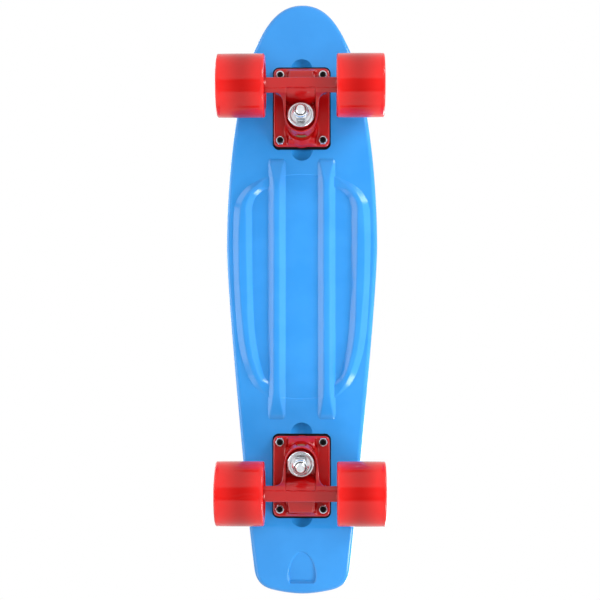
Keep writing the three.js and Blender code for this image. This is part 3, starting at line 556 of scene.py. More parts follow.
@dataclass(frozen=True)
class Finish:
    """A surface finish: its colours, gloss and fine relief."""

    name: str
    base: str
    deep: str
    roughness: float
    metallic: float = 0.0
    grain_scale: float = 1500.0
    flow_scale: float = 25.0
    flow_range: Point = (0.35, 0.65)
    stretch: float = 1.0
    relief: float = 0.00001
    marks: float = 0.3
    marks_scale: float = 60.0
    dulling: float = 0.15
    spread: float = 0.1
    coat: float = 0.0
    coat_roughness: float = 0.1
    scatter: float = 0.0
    scatter_radius: float = 4.0
    scatter_shares: Triple = (1.0, 0.25, 0.2)
    specular: float = 0.5
    # Painted shade: a darker colour towards the middle of a wheel's width, for the light that passes less
    # through it near the core.
    core_shade: str = ""
    core_shade_place: float = 54.5
    core_shade_reach: float = 21.5
    dimming: float = 0.5
    ior: float = 1.5

    def tint(self, graph: Graph, flow: Socket) -> Socket:
        """The base colour with its flow marks and its painted core shade, dimmed for light that has bounced
        off it.
        """
        tint = graph.mix(graph.ramp(flow, *self.flow_range), colour(self.deep), colour(self.base))
        # Painted shade: the core shade colour darkens the middle of the wheel's width.
        if self.core_shade:
            inputs = {"Place": self.core_shade_place * MM, "Reach": self.core_shade_reach * MM}
            group = shared_group("wheel_core_shade", inputs, ["Core"], fill_core_shade)
            middle = graph.add("ShaderNodeGroup", {"node_tree": group}, **inputs)
            tint = graph.mix(middle.outputs["Core"], tint, colour(self.core_shade))
        bounced = graph.add("ShaderNodeLightPath").outputs["Is Diffuse Ray"]
        return graph.mix(graph.math("MULTIPLY", bounced, self.dimming), tint, colour("#000000"))

    def material(self) -> bpy.types.Material:
        """The finish's material, built the first time that it is asked for."""
        name = f"{self.name}_finish"
        if name in bpy.data.materials:
            return bpy.data.materials[name]
        made = bpy.data.materials.new(name)
        made.use_nodes = True
        graph = Graph(made.node_tree)
        shader = made.node_tree.nodes["Principled BSDF"]
        inputs = {"Grain Scale": self.grain_scale, "Flow Scale": self.flow_scale, "Stretch": self.stretch}
        group = shared_group("moulding_grain", inputs, ["Flow", "Grain"], fill_grain)
        grain = graph.add("ShaderNodeGroup", {"node_tree": group}, **inputs)
        inputs = {"Scale": self.marks_scale, "Amount": self.marks}
        group = shared_group("handling_marks", inputs, ["Marks"], fill_marks)
        marks = graph.add("ShaderNodeGroup", {"node_tree": group}, **inputs)
        graph.feed(shader.inputs["Base Color"], self.tint(graph, grain.outputs["Flow"]))
        low = self.roughness - self.spread / 2
        spread = graph.math("MULTIPLY_ADD", grain.outputs["Flow"], self.spread, low)
        dulled = graph.math("MULTIPLY_ADD", marks.outputs["Marks"], self.dulling, spread)
        graph.feed(shader.inputs["Roughness"], dulled)
        height = graph.math("SUBTRACT", grain.outputs["Grain"], marks.outputs["Marks"])
        bump = graph.add("ShaderNodeBump", Strength=1.0, Distance=self.relief, Height=height)
        graph.feed(shader.inputs["Normal"], bump.outputs["Normal"])
        shader.inputs["Metallic"].default_value = self.metallic
        shader.inputs["IOR"].default_value = self.ior
        shader.inputs["Coat Weight"].default_value = self.coat
        shader.inputs["Coat Roughness"].default_value = self.coat_roughness
        shader.inputs["Subsurface Weight"].default_value = self.scatter
        shader.inputs["Subsurface Radius"].default_value = self.scatter_shares
        shader.inputs["Subsurface Scale"].default_value = self.scatter_radius * MM
        shader.inputs["Specular IOR Level"].default_value = self.specular
        return made


DECK_PLASTIC = Finish("deck_plastic_gloss", "#38a3fa", "#339ef5", 0.16, relief=0.000003)
TRUCK_PAINT = Finish(
    "truck_paint_gloss", "#c90c0f", "#bf090b", 0.2, grain_scale=900, relief=0.00002, coat=0.3,
)
# The wheel's core colour is painted shade, darker towards the middle of its width.
URETHANE = Finish("wheel_urethane", "#fb2421", "#f31f1c", 0.15, relief=0.000004, scatter=0.2,
                  scatter_radius=6.0, core_shade="#c40e0b")
ZINC = Finish("bright_zinc", "#e9ecf0", "#dcdfe4", 0.22, metallic=0.85, flow_scale=300, relief=0.000006)
YELLOW_ZINC = Finish("yellow_zinc", "#b9a873", "#a39262", 0.35, metallic=0.8, flow_scale=300)
STEEL = Finish("plain_steel", "#b9bdc2", "#a9adb3", 0.3, metallic=0.9, flow_scale=400, stretch=0.2)
RUBBER = Finish("riser_rubber", "#050506", "#08080a", 0.7, relief=0.00002, specular=0.15)
BUSHING = Finish("bushing_urethane", "#c81e1a", "#bb1a17", 0.42, scatter=0.2)
CUP_PLASTIC = Finish("cup_plastic", "#0b0b0d", "#101013", 0.5, specular=0.2)
BLACK_OXIDE = Finish("black_bolt", "#060607", "#0a0a0b", 0.42, metallic=0.4, specular=0.2)
BEARING_SEAL = Finish("bearing_seal", "#141416", "#19191b", 0.5)


# Deck


@dataclass
class Deck:
    """The moulded deck: plate, ribs, panel, slots, tail mark, bolt holes and grip pads."""

    length: float = 578
    width: float = 146.4
    underside: float = 76
    thickness: float = 10
    top_rim: float = 3
    bottom_rim: float = 4.5
    nose_bend: float = 74
    nose_rise: float = 15
    tail_kick: float = 69
    kick_bend: float = 5
    kick_slopes: Point = (0.17, 0.38)
    front_truck: float = 181
    rear_truck: float = -172.5
    rib_height: float = 4.1
    rib_width: float = 17
    rib_slope: float = 5.9
    rib_spacing: float = 48.2
    rib_nose_tip: float = 133
    rib_tail_tip: float = -119.5
    rib_nose_ramp: float = 27
    rib_tail_ramp: float = 30
    rib_end_height: float = 1.5
    rib_end_length: float = 4.5
    rib_end_inset: float = 2.0
    least_slope_share: float = 0.72
    rib_cove: float = 1.2
    rib_shoulder: float = 3.6
    rib_sink: float = 0.01
    rib_apron: float = 4.0
    rib_root: float = 1.5
    ramp_crowding: float = 1.4
    arc_share: float = 0.45
    least_height: float = 0.02
    loop_half_width: float = 66.2
    loop_nose: float = 115.8
    loop_tail: float = -99
    loop_outer_slope: float = 6.7
    loop_inner_slope: float = 6.3
    loop_end_height: float = 0.3
    loop_end_length: float = 26
    loop_slope_power: float = 0.6
    loop_step: float = 3.5
    panel_depth: float = 0.6
    panel_share: float = 0.3
    panel_nose: float = 115.7
    panel_tail: float = -97.6
    panel_arch: float = 2.2
    panel_gap: float = 2
    slot_width: float = 21
    slot_length: float = 100
    mark_width: float = 26
    mark_length: float = 31.5
    mark_depth: float = 3.2
    mark_wall: float = 3.2
    mark_gap: float = 11
    mark_widest: float = 0.27
    mark_foot: float = 0.72
    mark_fade: float = 0.65
    mark_lip: float = 0.3
    pad_pitch: float = 5.4
    pad_size: float = 3.9
    pad_top: float = 3.2
    pad_height: float = 0.4
    pad_margin: float = 7.5
    pad_bolt_gap: float = 9
    pad_sink: float = 0.15
    hole_radius: float = 2.8
    sink_radius: float = 5.1
    sink_depth: float = 2.9
    bolt_across: float = 41.28
    bolt_along: float = 63.5

    outline_shares = (
        ((0.33, 1), (0.492, 0.92), (0.632, 0.837), 20),
        ((0.867, 0.699), (1, 0.415), (1, 0.173), 24),
        ((1, 0.035), (0.833, -0.394), (0.687, -0.775), 30),
        ((0.669, -0.821), (0.65, -0.867), (0.631, -0.913), 6),
        ((0.617, -0.948), (0.56, -0.974), (0.41, -0.985), 12),
        ((0.28, -0.994), (0.123, -1), (0, -1), 8),
    )
    loop_foot_shares = (
        ((0.364, 1), (0.364, 0.895)),
        ((0.53, 0.993), (0.5, 0.89)),
        ((0.838, 0.885), (0.66, 0.825)),
        ((0.968, 0.765), (0.725, 0.73)),
        ((1, 0.65), (0.727, 0.6)),
        ((0.994, 0.08), (0.716, -0.03)),
        ((0.93, -0.475), (0.67, -0.48)),
        ((0.855, -0.68), (0.6, -0.7)),
        ((0.706, -0.88), (0.53, -0.82)),
        ((0.364, -1.05), (0.364, -0.93)),
    )

    panel_rings = ((-0.6, -4), (-0.6, -0.02), (-0.2, 0.06), (0.15, 0.3), (0.4, 0.52), (0.8, 0.6))
    slot_rings = ((0, -4), (0, 0), (0.7, 1.0), (1.8, 2.6), (3.6, 4.4), (6.5, 5.7), (9.0, 6.2))
    mark_rings = (
        (-1.5, -4), (-1.5, -0.02), (-1.0, 0.03), (-0.5, 0.12), (-0.15, 0.28), (0.1, 0.48), (0.4, 0.8),
        (0.7, 0.95), (1.2, 1.0),
    )

    def lift(self, y: float) -> float:
        """How far the nose and the tail rise above the flat middle."""
        past = y - (self.length / 2 - self.nose_bend)
        if past > 0:
            return self.nose_rise * (past / self.nose_bend) ** 2
        past = -y - (self.length / 2 - self.tail_kick)
        if past <= 0:
            return 0.0
        first, last = self.kick_slopes
        bend = min(past, self.kick_bend)
        rest = past - bend
        steeper = (last - first) * rest ** 2 / (2 * (self.tail_kick - self.kick_bend))
        return first * bend ** 2 / (2 * self.kick_bend) + first * rest + steeper

    def bent(self, piece: Piece, rows: float = 5) -> Piece:
        """Cuts a flat piece into rows where the deck curves, then lifts them."""
        half = self.length / 2
        starts = [(half - self.nose_bend, 1, self.nose_bend), (self.tail_kick - half, -1, self.tail_kick)]
        reach = [vertex.co.y / MM for vertex in piece.data.vertices]
        enter(piece)
        for start, way, stretch in starts if rows else []:
            for row in range(int(stretch / rows) + 1):
                y = start + way * row * rows
                if min(reach) < y < max(reach):
                    bpy.ops.mesh.select_all(action="SELECT")
                    bpy.ops.mesh.bisect(plane_co=(0, y * MM, 0), plane_no=(0, 1, 0))
        leave()
        for vertex in piece.data.vertices:
            vertex.co.z += self.lift(vertex.co.y / MM) * MM
        return piece

    def outline(self) -> list[Point]:
        """The deck's outline seen from above, all the way round."""
        half_width, half_length = self.width / 2, self.length / 2
        right: list[Point] = [(0.0, half_length)]
        for first, second, last, steps in self.outline_shares:
            handles = [(x * half_width, y * half_length) for x, y in (first, second, last)]
            right += bezier(right[-1], *handles, steps)
        left = [(-x, y) for x, y in right]
        return left + right[-2:0:-1]

    def inset(self, outline: Sequence[Point], depth: float, height: float) -> list[Triple]:
        """The outline drawn in by a depth, at a height."""
        ring = []
        count = len(outline)
        for i, (x, y) in enumerate(outline):
            before, after = Vector(outline[i - 1]), Vector(outline[(i + 1) % count])
            along = (after - before).normalized()
            ring.append((x - along.y * depth, y + along.x * depth, height))
        return ring

    def plate(self) -> Piece:
        """The bent plate with its two round rims."""
        outline = self.outline()
        top = self.thickness - self.pad_height
        quarter = [math.pi / 2 * step / 6 for step in range(7)]
        low, high = (
            [(rim * (1 - math.sin(angle)), rim * (1 - math.cos(angle))) for angle in quarter]
            for rim in (self.bottom_rim, self.top_rim)
        )
        rings = [self.inset(outline, depth, level) for depth, level in low]
        rings += [self.inset(outline, depth, top - level) for depth, level in reversed(high)]
        return self.bent(loft("deck_moulding", rings))

    def section(self, width: float, height: float, runs: Sequence[float], feet: Point) -> list[Point]:
        """Across a rib: coves at its feet, slopes, round shoulders and a flat.

        Args:
            width: from foot to foot.
            height: of the flat above the plate.
            runs: width of the first and the second slope.
            feet: height of the first and the second foot, below zero on the sunk panel.

        Returns:
            (offset, height) pairs, closed below the plate.
        """
        room = min(1.0, self.least_slope_share * width / sum(runs))
        runs = [run * room for run in runs]
        lengths = [math.hypot(run, height - foot) for run, foot in zip(runs, feet)]
        angles = [math.atan2(height - foot, run) for run, foot in zip(runs, feet)]
        limits = [self.arc_share * length / math.tan(angle / 2) for length, angle in zip(lengths, angles)]
        coves = [min(self.rib_cove, limit) for limit in limits]
        shoulders = [min(self.rib_shoulder, limit) for limit in limits]
        first, second = (foot - self.rib_sink for foot in feet)
        line = rounded([
            (-self.rib_apron, first, 0),
            (0, first, coves[0]),
            (runs[0], height, shoulders[0]),
            (width - runs[1], height, shoulders[1]),
            (width, second, coves[1]),
            (width + self.rib_apron, second, 0),
        ], 5, closed=False)[1:-1]
        floor = -self.panel_depth - self.rib_root
        return [*line, (line[-1][0], floor), (line[0][0], floor)]

    def straight_rib(self, side: int) -> Piece:
        """One straight rib, its ends eased down to the plate."""
        span = self.rib_nose_tip - self.rib_tail_tip
        places = [0.0, self.rib_end_length / 2, span - self.rib_end_length / 2, span]
        for share in (step / 18 for step in range(19)):
            places.append(self.rib_end_length + self.rib_tail_ramp * share ** self.ramp_crowding)
            places.append(span - self.rib_end_length - self.rib_nose_ramp * share ** self.ramp_crowding)
        places += [edge - self.rib_tail_tip + step for edge in (self.loop_nose, self.loop_tail)
                   for step in (-0.8, -0.3, 0.3, 0.8)]
        rings = []
        for place in sorted(set(places)):
            y = self.rib_tail_tip + place
            tail_share = (place - self.rib_end_length) / self.rib_tail_ramp
            nose_share = (span - place - self.rib_end_length) / self.rib_nose_ramp
            near = min(tail_share, nose_share, 1.0)
            rise = self.rib_height - self.rib_end_height
            height = self.rib_end_height + rise * (1 - (1 - max(near, 0.0)) ** 2)
            end = math.sin(min(min(place, span - place) / self.rib_end_length, 1.0) * math.pi / 2)
            height = self.least_height + height * min(1.0, end)
            sunk = -self.panel_depth if self.loop_tail < y < self.loop_nose else 0.0
            width = self.rib_width - 2 * self.rib_end_inset * (1 - end)
            slope = self.rib_slope * height / self.rib_height
            section = self.section(width, height, (slope, slope), (sunk, sunk))
            middle = side * self.rib_spacing / 2 - width / 2
            rings.append([(middle + offset, y, -level) for offset, level in section])
        return loft("straight_rib", rings)

    def loop_feet(self, side: int) -> list[list[Vector]]:
        """The outer and the inner foot of one half of the loop rib, in matching steps."""
        middle = (self.loop_nose + self.loop_tail) / 2
        half = (self.loop_nose - self.loop_tail) / 2
        feet = [[(side * x * self.loop_half_width, middle + y * half) for x, y in foot]
                for foot in zip(*self.loop_foot_shares)]
        spans = [math.dist(a, b) for a, b in zip(feet[0], feet[0][1:])]
        parts = [max(3, round(span / self.loop_step)) for span in spans]
        return [smooth_path(points, parts) for points in feet]

    def loop_rib(self, side: int) -> Piece:
        """One half of the loop rib, from straight rib to straight rib."""
        rings = []
        feet = self.loop_feet(side)
        middles = [(outer + inner) / 2 for outer, inner in zip(*feet)]
        steps = [(after - before).length for before, after in zip(middles, middles[1:])]
        start = self.loop_foot_shares[0][0][0] * self.loop_half_width
        buried = (self.rib_spacing + self.rib_width) / 2 - start
        full = self.rib_height - self.least_height
        for i, (outer, inner) in enumerate(zip(*feet)):
            way = (inner - outer).normalized()
            along = min(sum(steps[:i]), sum(steps[i:])) - buried
            near = min(1.0, max(0.0, along / self.loop_end_length))
            height = self.loop_end_height + (full - self.loop_end_height) * near * near * (3 - 2 * near)
            share = (height / full) ** self.loop_slope_power
            slopes = (self.loop_outer_slope * share, self.loop_inner_slope * share)
            section = self.section((inner - outer).length, height, slopes, (0.0, -self.panel_depth))
            points = [(outer + way * offset, level) for offset, level in section]
            rings.append([(point.x, point.y, -level) for point, level in points])
        return loft("loop_rib", rings)

    def panel(self) -> Piece:
        """What is cut away to sink the panel inside the loop rib."""
        right, left = (
            [tuple(outer.lerp(inner, self.panel_share)) for outer, inner in zip(*self.loop_feet(side))]
            for side in (1, -1)
        )
        reach = self.rib_spacing / 2 - self.panel_gap
        shares = [1 - step / 6 for step in range(13)]
        arches = [[(way * reach * t, start + way * self.panel_arch * (1 - t * t)) for t in shares]
                  for start, way in ((self.panel_nose, 1), (self.panel_tail, -1))]
        outline = [*right[::-1], *arches[0], *left, *arches[1]][::-1]
        return loft("panel", [self.inset(outline, -depth, level) for depth, level in self.panel_rings])

    def slot(self, y: float) -> Piece:
        """What is cut away for the dished slot over a truck."""
        rings = []
        for depth, level in self.slot_rings:
            width, length = self.slot_width - 2 * depth, self.slot_length - 2 * depth
            rings.append([(x, y + dy, level) for x, dy in rectangle(width, length, width / 2 - 0.01, 16)])
        return self.bent(loft("slot", rings), 4)

    def tail_mark(self) -> Piece:
        """What is cut away for the plain rounded triangle under the tail."""
        foot = self.mark_gap - self.length / 2
        half = self.mark_width / 2
        tip = foot + self.mark_length
        widest = foot + self.mark_length * self.mark_widest
        corner = half * self.mark_foot
        right = bezier((corner, foot), (half * 0.93, foot), (half, foot + 3), (half, widest), 8)
        right += bezier((half, widest), (half, (widest + tip) / 2), (half / 2, tip), (0, tip), 14)
        left = [(-x, y) for x, y in reversed(right[:-1])]
        outline = [(corner, foot), *right, *left, (-corner, foot)][::-1]
        rings = []
        for depth, level in self.mark_rings:
            ring = []
            for x, y, _ in self.inset(outline, -depth, 0):
                deep = max(1 - self.mark_fade * (y - foot) / self.mark_length, 0.5)
                height = level if level <= 0 else level * self.mark_depth * deep
                past = max(level, self.mark_lip) - self.mark_lip
                wall = foot + self.mark_wall * past / (1 - self.mark_lip)
                ring.append((x, max(y, wall), height))
            rings.append(ring)
        return self.bent(loft("tail_mark", rings), 4)

    def bolts(self) -> list[Point]:
        """The places of the eight bolts."""
        return [(x, middle + y) for middle in (self.front_truck, self.rear_truck)
                for x in (-self.bolt_across / 2, self.bolt_across / 2)
                for y in (-self.bolt_along / 2, self.bolt_along / 2)]

    def bolt_holes(self) -> list[Piece]:
        """The eight holes, countersunk from above."""
        top = self.thickness
        profile = [(0, -12), (self.hole_radius, -12), (self.hole_radius, top - self.sink_depth),
                   (self.sink_radius, top - 0.5), (self.sink_radius, top + 2), (0, top + 2)]
        return [lathe("hole", profile, 32, shift(x, y, 0)) for x, y in self.bolts()]

    def pads(self) -> Piece:
        """The grid of small raised pads on the top, clear of the rim and of the bolts."""
        right = sorted((y, x) for x, y in self.outline() if x >= 0)

        def half_width(y: float) -> float:
            for (low, near), (high, far) in zip(right, right[1:]):
                if low <= y <= high:
                    return near + (far - near) * (y - low) / max(high - low, TINY)
            return 0.0

        pitch, size = self.pad_pitch, self.pad_size
        across_count = int(self.width / pitch) + 1
        along_count = int(self.length / pitch)
        only()
        bpy.ops.mesh.primitive_grid_add(x_subdivisions=across_count, y_subdivisions=along_count, size=MM)
        piece = put(named("pads"), Matrix.Diagonal((across_count * pitch, along_count * pitch, 1, 1)))
        bolts = self.bolts()

        def outside(face: bmesh.types.BMFace) -> bool:
            centre = face.calc_center_median() / MM
            ends = [half_width(centre.y + way * pitch / 2) for way in (-1, 1)]
            near_rim = abs(centre.x) + size / 2 > min(ends) - self.pad_margin
            past_end = abs(centre.y) > self.length / 2 - self.pad_margin - size
            near_bolt = any(math.hypot(centre.x - x, centre.y - y) < self.pad_bolt_gap for x, y in bolts)
            return near_rim or past_end or near_bolt

        enter(piece)
        pick_faces(outside)
        bpy.ops.mesh.delete(type="FACE")
        bpy.ops.mesh.select_all(action="SELECT")
        bpy.ops.mesh.inset(thickness=(pitch - size) / 2 * MM, use_individual=True)
        pick_faces(lambda face: abs(face.calc_area() / MM / MM - size * size) > 0.5)
        bpy.ops.mesh.delete(type="FACE")
        leave()
        finish_modifier(piece, "SOLIDIFY", thickness=self.pad_sink * MM, offset=-1)
        enter(piece)
        pick_faces(lambda face: face.normal.z > 0.9)
        taper = (size - self.pad_top) / 2 * MM
        bpy.ops.mesh.inset(thickness=taper, depth=self.pad_height * MM, use_individual=True)
        leave()
        put(piece, shift(0, 0, self.thickness - self.pad_height))
        return self.bent(piece, 0)

    def build(self) -> Piece:
        """Models the whole deck and dresses it."""
        ribs = [self.straight_rib(side) for side in (-1, 1)] + [self.loop_rib(side) for side in (-1, 1)]
        deck = self.plate()
        cuts = [self.panel(), self.slot(self.front_truck), self.slot(self.rear_truck), self.tail_mark()]
        boolean(deck, cuts, Operation.CUT)
        boolean(deck, ribs, Operation.JOIN)
        boolean(deck, [self.pads()], Operation.JOIN)
        boolean(deck, self.bolt_holes(), Operation.CUT)
        put(deck, shift(0, 0, self.underside))
        shade(deck, 32, weighted=True)
        return dress(deck, DECK_PLASTIC, "board", "deck_plastic", "deck")


# Trucks


@dataclass
class TruckPlace:
    """Where a truck sits and what its bodies are called."""

    end: str
    place: Matrix

    def node(self, name: str) -> str:
        """The frame's name of one of this truck's nodes."""
        return f"{self.end}_{name}"

    def body(self, rides: Rides, hand: str = "") -> str:
        """The body that a piece of this truck moves with."""
        if rides is Rides.BOARD:
            return "board"
        return self.node("swing" if rides is Rides.SWING else f"{hand}_roller")


@dataclass
class Truck:
    """Shared sizes of a truck, and the frames of its kingpin and its pivot."""

    kingpin_inset: float = 22
    kingpin_lean: float = 12
    ring_out: float = -15.835
    ring_up: float = -29.002
    pivot_reach: float = 42.39
    pivot_rise: float = 20
    axle_out: float = 14
    axle_drop: float = 46
    plate_shift: float = 0.8
    bolt_across: float = 41.28
    bolt_along: float = 63.5

    @property
    def kingpin(self) -> Matrix:
        """The kingpin's frame, its road side down."""
        return shift(0, -self.kingpin_inset, 0) @ turn(self.kingpin_lean, "X")

    @property
    def pivot(self) -> Matrix:
        """The pivot's frame, from the ring's centre up to the cup."""
        return shift(0, self.ring_out, self.ring_up) @ turn(self.pivot_rise - 90, "X")

    @property
    def axle(self) -> Matrix:
        """The axle's frame, with Z across the board."""
        return shift(0, self.axle_out, -self.axle_drop) @ turn(90, "Y")

    def on_kingpin(self, along: float, out: float) -> Point:
        """Outboard place and height of a point along and outboard of the kingpin."""
        lean = math.radians(self.kingpin_lean)
        y = out * math.cos(lean) + along * math.sin(lean) - self.kingpin_inset
        return (y, out * math.sin(lean) - along * math.cos(lean))

    def on_pivot(self, along: float, below: float) -> Point:
        """Outboard place and height of a point along the pivot and below it."""
        rise = math.radians(self.pivot_rise)
        y = self.ring_out + along * math.cos(rise) + below * math.sin(rise)
        return (y, self.ring_up + along * math.sin(rise) - below * math.cos(rise))

    def bolt_places(self) -> list[Point]:
        """The four bolts of a truck."""
        return [(x * self.bolt_across / 2, y * self.bolt_along / 2) for x in (-1, 1) for y in (-1, 1)]


@dataclass
class Mounting(Truck):
    """What bolts to the deck: riser pad, cast baseplate and pivot cup."""

    riser_size: Point = (56.2, 80.5)
    riser_corner: float = 6
    riser_gap: float = 0.3
    riser_thickness: float = 3
    riser_edge: float = 0.45
    window_size: Point = (26, 42)
    bolt_hole: float = 2.8
    plate_size: Point = (54, 76.5)
    plate_corner: float = 5
    plate_face: float = 7.5
    plate_rim: float = 1.5
    block_foot: Point = (30.5, 75)
    block_top: Point = (25.0, 71.5)
    block_face: float = 11
    block_sink: float = 1
    block_corner: float = 2
    ramp_top: Point = (-31, -15.3)
    ramp_root: tuple[Point, ...] = ((-24, -4), (-24, -15.3))
    ramp_inset: float = 1.2
    ramp_end: Point = (-9, -4)
    slope_start: float = 24
    slope_end: Point = (-8, -20)
    nut_room: float = 7.3
    nut_room_flare: float = 3
    nut_room_reach: float = 30
    boss_seat: float = 13
    boss_overlap: Point = (1, 4)
    boss_top_radius: float = 13.5
    boss_foot_radius: float = 16.5
    housing_radius: float = 10.7
    housing_width: float = 25.5
    housing_rounds: Triple = (2.5, 4, 3)
    housing_inset: float = 0.6
    socket_gap: float = 0.3
    socket_overrun: float = 3
    cup_radius: float = 6.8
    cup_depth: float = 6.8
    cup_bore: float = 5.3
    cup_lip: float = 0.3
    cup_mouth: float = 0.6
    cup_floor: float = 1.5
    nose_grip: float = 7
    head_room: float = 8.6
    head_seat: float = -8.3
    pin_room: float = 5.05
    voxel: float = 0.5

    def riser(self) -> Piece:
        """The rubber pad between the deck and the baseplate."""
        outline = rectangle(*self.riser_size, self.riser_corner)
        low = self.riser_gap - self.riser_thickness
        pad = prism("riser", outline, low, -self.riser_gap, shift(0, self.plate_shift, 0))
        soften(pad, self.riser_edge, 2, 60)
        inner = rectangle(*self.window_size, self.riser_corner)
        middle = shift(0, self.plate_shift - self.kingpin_inset / 2, 0)
        cuts = [prism("window", inner, -9, 2, middle)]
        cuts += [rod("hole", self.bolt_hole, -9, 2, shift(x, y, 0), 24) for x, y in self.bolt_places()]
        return shade(boolean(pad, cuts, Operation.CUT), 40)

    def flange(self) -> Piece:
        """The baseplate's plain flange with its rounded rim."""
        rings = []
        for step in range(6):
            angle = math.pi / 2 * step / 5
            inset = self.plate_rim * (1 - math.cos(angle))
            z = -self.plate_face + self.plate_rim * (1 - math.sin(angle))
            outline = rectangle(self.plate_size[0] - 2 * inset, self.plate_size[1] - 2 * inset,
                                self.plate_corner - inset)
            rings.append([(x, y + self.plate_shift, z) for x, y in outline])
        rings.insert(0, [(x, y, -self.riser_thickness) for x, y, _ in rings[0]])
        return loft("flange", rings)

    def block(self) -> Piece:
        """The raised block down the middle of the baseplate."""
        rings = []
        sunk = self.block_sink - self.plate_face
        for size, z in ((self.block_foot, sunk), (self.block_top, -self.block_face)):
            rings.append([(x, y + self.plate_shift, z) for x, y in rectangle(*size, self.block_corner, 4)])
        return loft("block", rings)

    def casting(self) -> Piece:
        """The cast baseplate: flange, block, kingpin boss and pivot housing in one."""
        mouth = self.pivot_reach - self.nose_grip + self.riser_gap
        bottom = self.pivot_reach + self.cup_depth
        low, high = -self.boss_seat - self.boss_overlap[0], self.boss_overlap[1]
        boss = lathe("boss", [
            (0, low),
            (self.boss_top_radius, low),
            (self.boss_foot_radius, -self.plate_face),
            (self.boss_foot_radius, high),
            (0, high),
        ], 64, self.kingpin)
        mouth_round, bottom_round, block_round = self.housing_rounds
        block_half = self.block_top[1] / 2 - self.housing_inset
        profile = rounded([
            (*self.on_pivot(mouth, -self.housing_radius), 0),
            (*self.on_pivot(mouth, self.housing_radius), mouth_round),
            (*self.on_pivot(bottom, self.housing_radius), bottom_round),
            (self.plate_shift + block_half, -self.block_face, block_round),
            (self.plate_shift + self.block_foot[1] / 2, -self.riser_thickness, 0),
        ], 5)
        housing = across("housing", profile, self.housing_width)
        inboard = self.plate_shift - self.plate_size[1] / 2 + self.ramp_inset
        end = [(inboard, height) for height in self.ramp_end]
        ramp = across("ramp", [self.ramp_top, *end, *self.ramp_root], self.block_top[0])
        piece = boolean(self.flange(), [self.block(), boss, housing, ramp], Operation.JOIN)
        cuts = [prism("deck_side", rectangle(200, 200, 1), -self.riser_thickness, 40)]
        outboard = self.plate_shift + self.plate_size[1] / 2
        start, (high, low) = self.slope_start, self.slope_end
        slope = [(start, -self.block_face), (outboard, high), (outboard, low), (start, low)]
        cuts.append(across("slope", slope, 80))
        face, reach = -self.plate_face, -self.nut_room_reach
        room = [(0, face), (self.nut_room, face), (self.nut_room + self.nut_room_flare, reach), (0, reach)]
        cuts += [lathe("nut_room", room, 40, shift(x, y, 0)) for x, y in self.bolt_places()]
        boolean(piece, cuts, Operation.CUT)
        cast(piece, self.voxel, 5)
        gap = self.socket_gap
        turned = [
            rod("spot_face", self.boss_foot_radius + 3, -60, -self.boss_seat, self.kingpin, 64),
            rod("pin_hole", self.pin_room, -20, 4, self.kingpin),
            rod("head_pocket", self.head_room, self.head_seat, 6, self.kingpin, 32),
            rod("socket", self.cup_radius + gap, mouth - self.socket_overrun, bottom + gap, self.pivot, 48),
        ]
        turned += [rod("hole", self.bolt_hole, -20, 2, shift(x, y, 0), 24) for x, y in self.bolt_places()]
        boolean(piece, turned, Operation.CUT)
        return shade(piece, 40)

    def cup(self) -> Piece:
        """The plastic pivot cup, an open thimble with a lip."""
        inside, outside, lip, end = self.cup_bore, self.cup_radius, self.cup_lip, self.cup_depth
        mouth = self.cup_mouth - self.nose_grip
        profile = [(inside, mouth), (outside - lip, mouth), (outside, mouth + lip), (outside, end), (0, end),
                   (0, end - self.cup_floor), *arc((0, 0), inside, 90, 0, 8)[1:]]
        return shade(lathe("cup", profile, 48, self.pivot @ shift(0, 0, self.pivot_reach)), 40)

    def build(self, trucks: Sequence[TruckPlace]) -> None:
        """Models each piece once and gives every truck its own."""
        for piece, name, finish, slot in (
            (self.riser(), "riser_pad", RUBBER, "riser_rubber"),
            (self.casting(), "baseplate", TRUCK_PAINT, "truck_paint"),
            (self.cup(), "pivot_cup", CUP_PLASTIC, "cup_plastic"),
        ):
            share(piece, name, finish, slot, trucks)


def share(piece: Piece, name: str, finish: Finish, slot: str, trucks: Sequence[TruckPlace],
          rides: Rides = Rides.BOARD, replaces: bool = True) -> None:
    """Gives every truck its own dressed copy of a piece, and drops the pattern."""
    for truck in trucks:
        twin = put(copied(piece, f"{truck.node(name)}_look"), truck.place)
        nodes = [truck.node(name)] if replaces else []
        dress(twin, finish, truck.body(rides), slot, *nodes)
    bpy.data.objects.remove(piece)


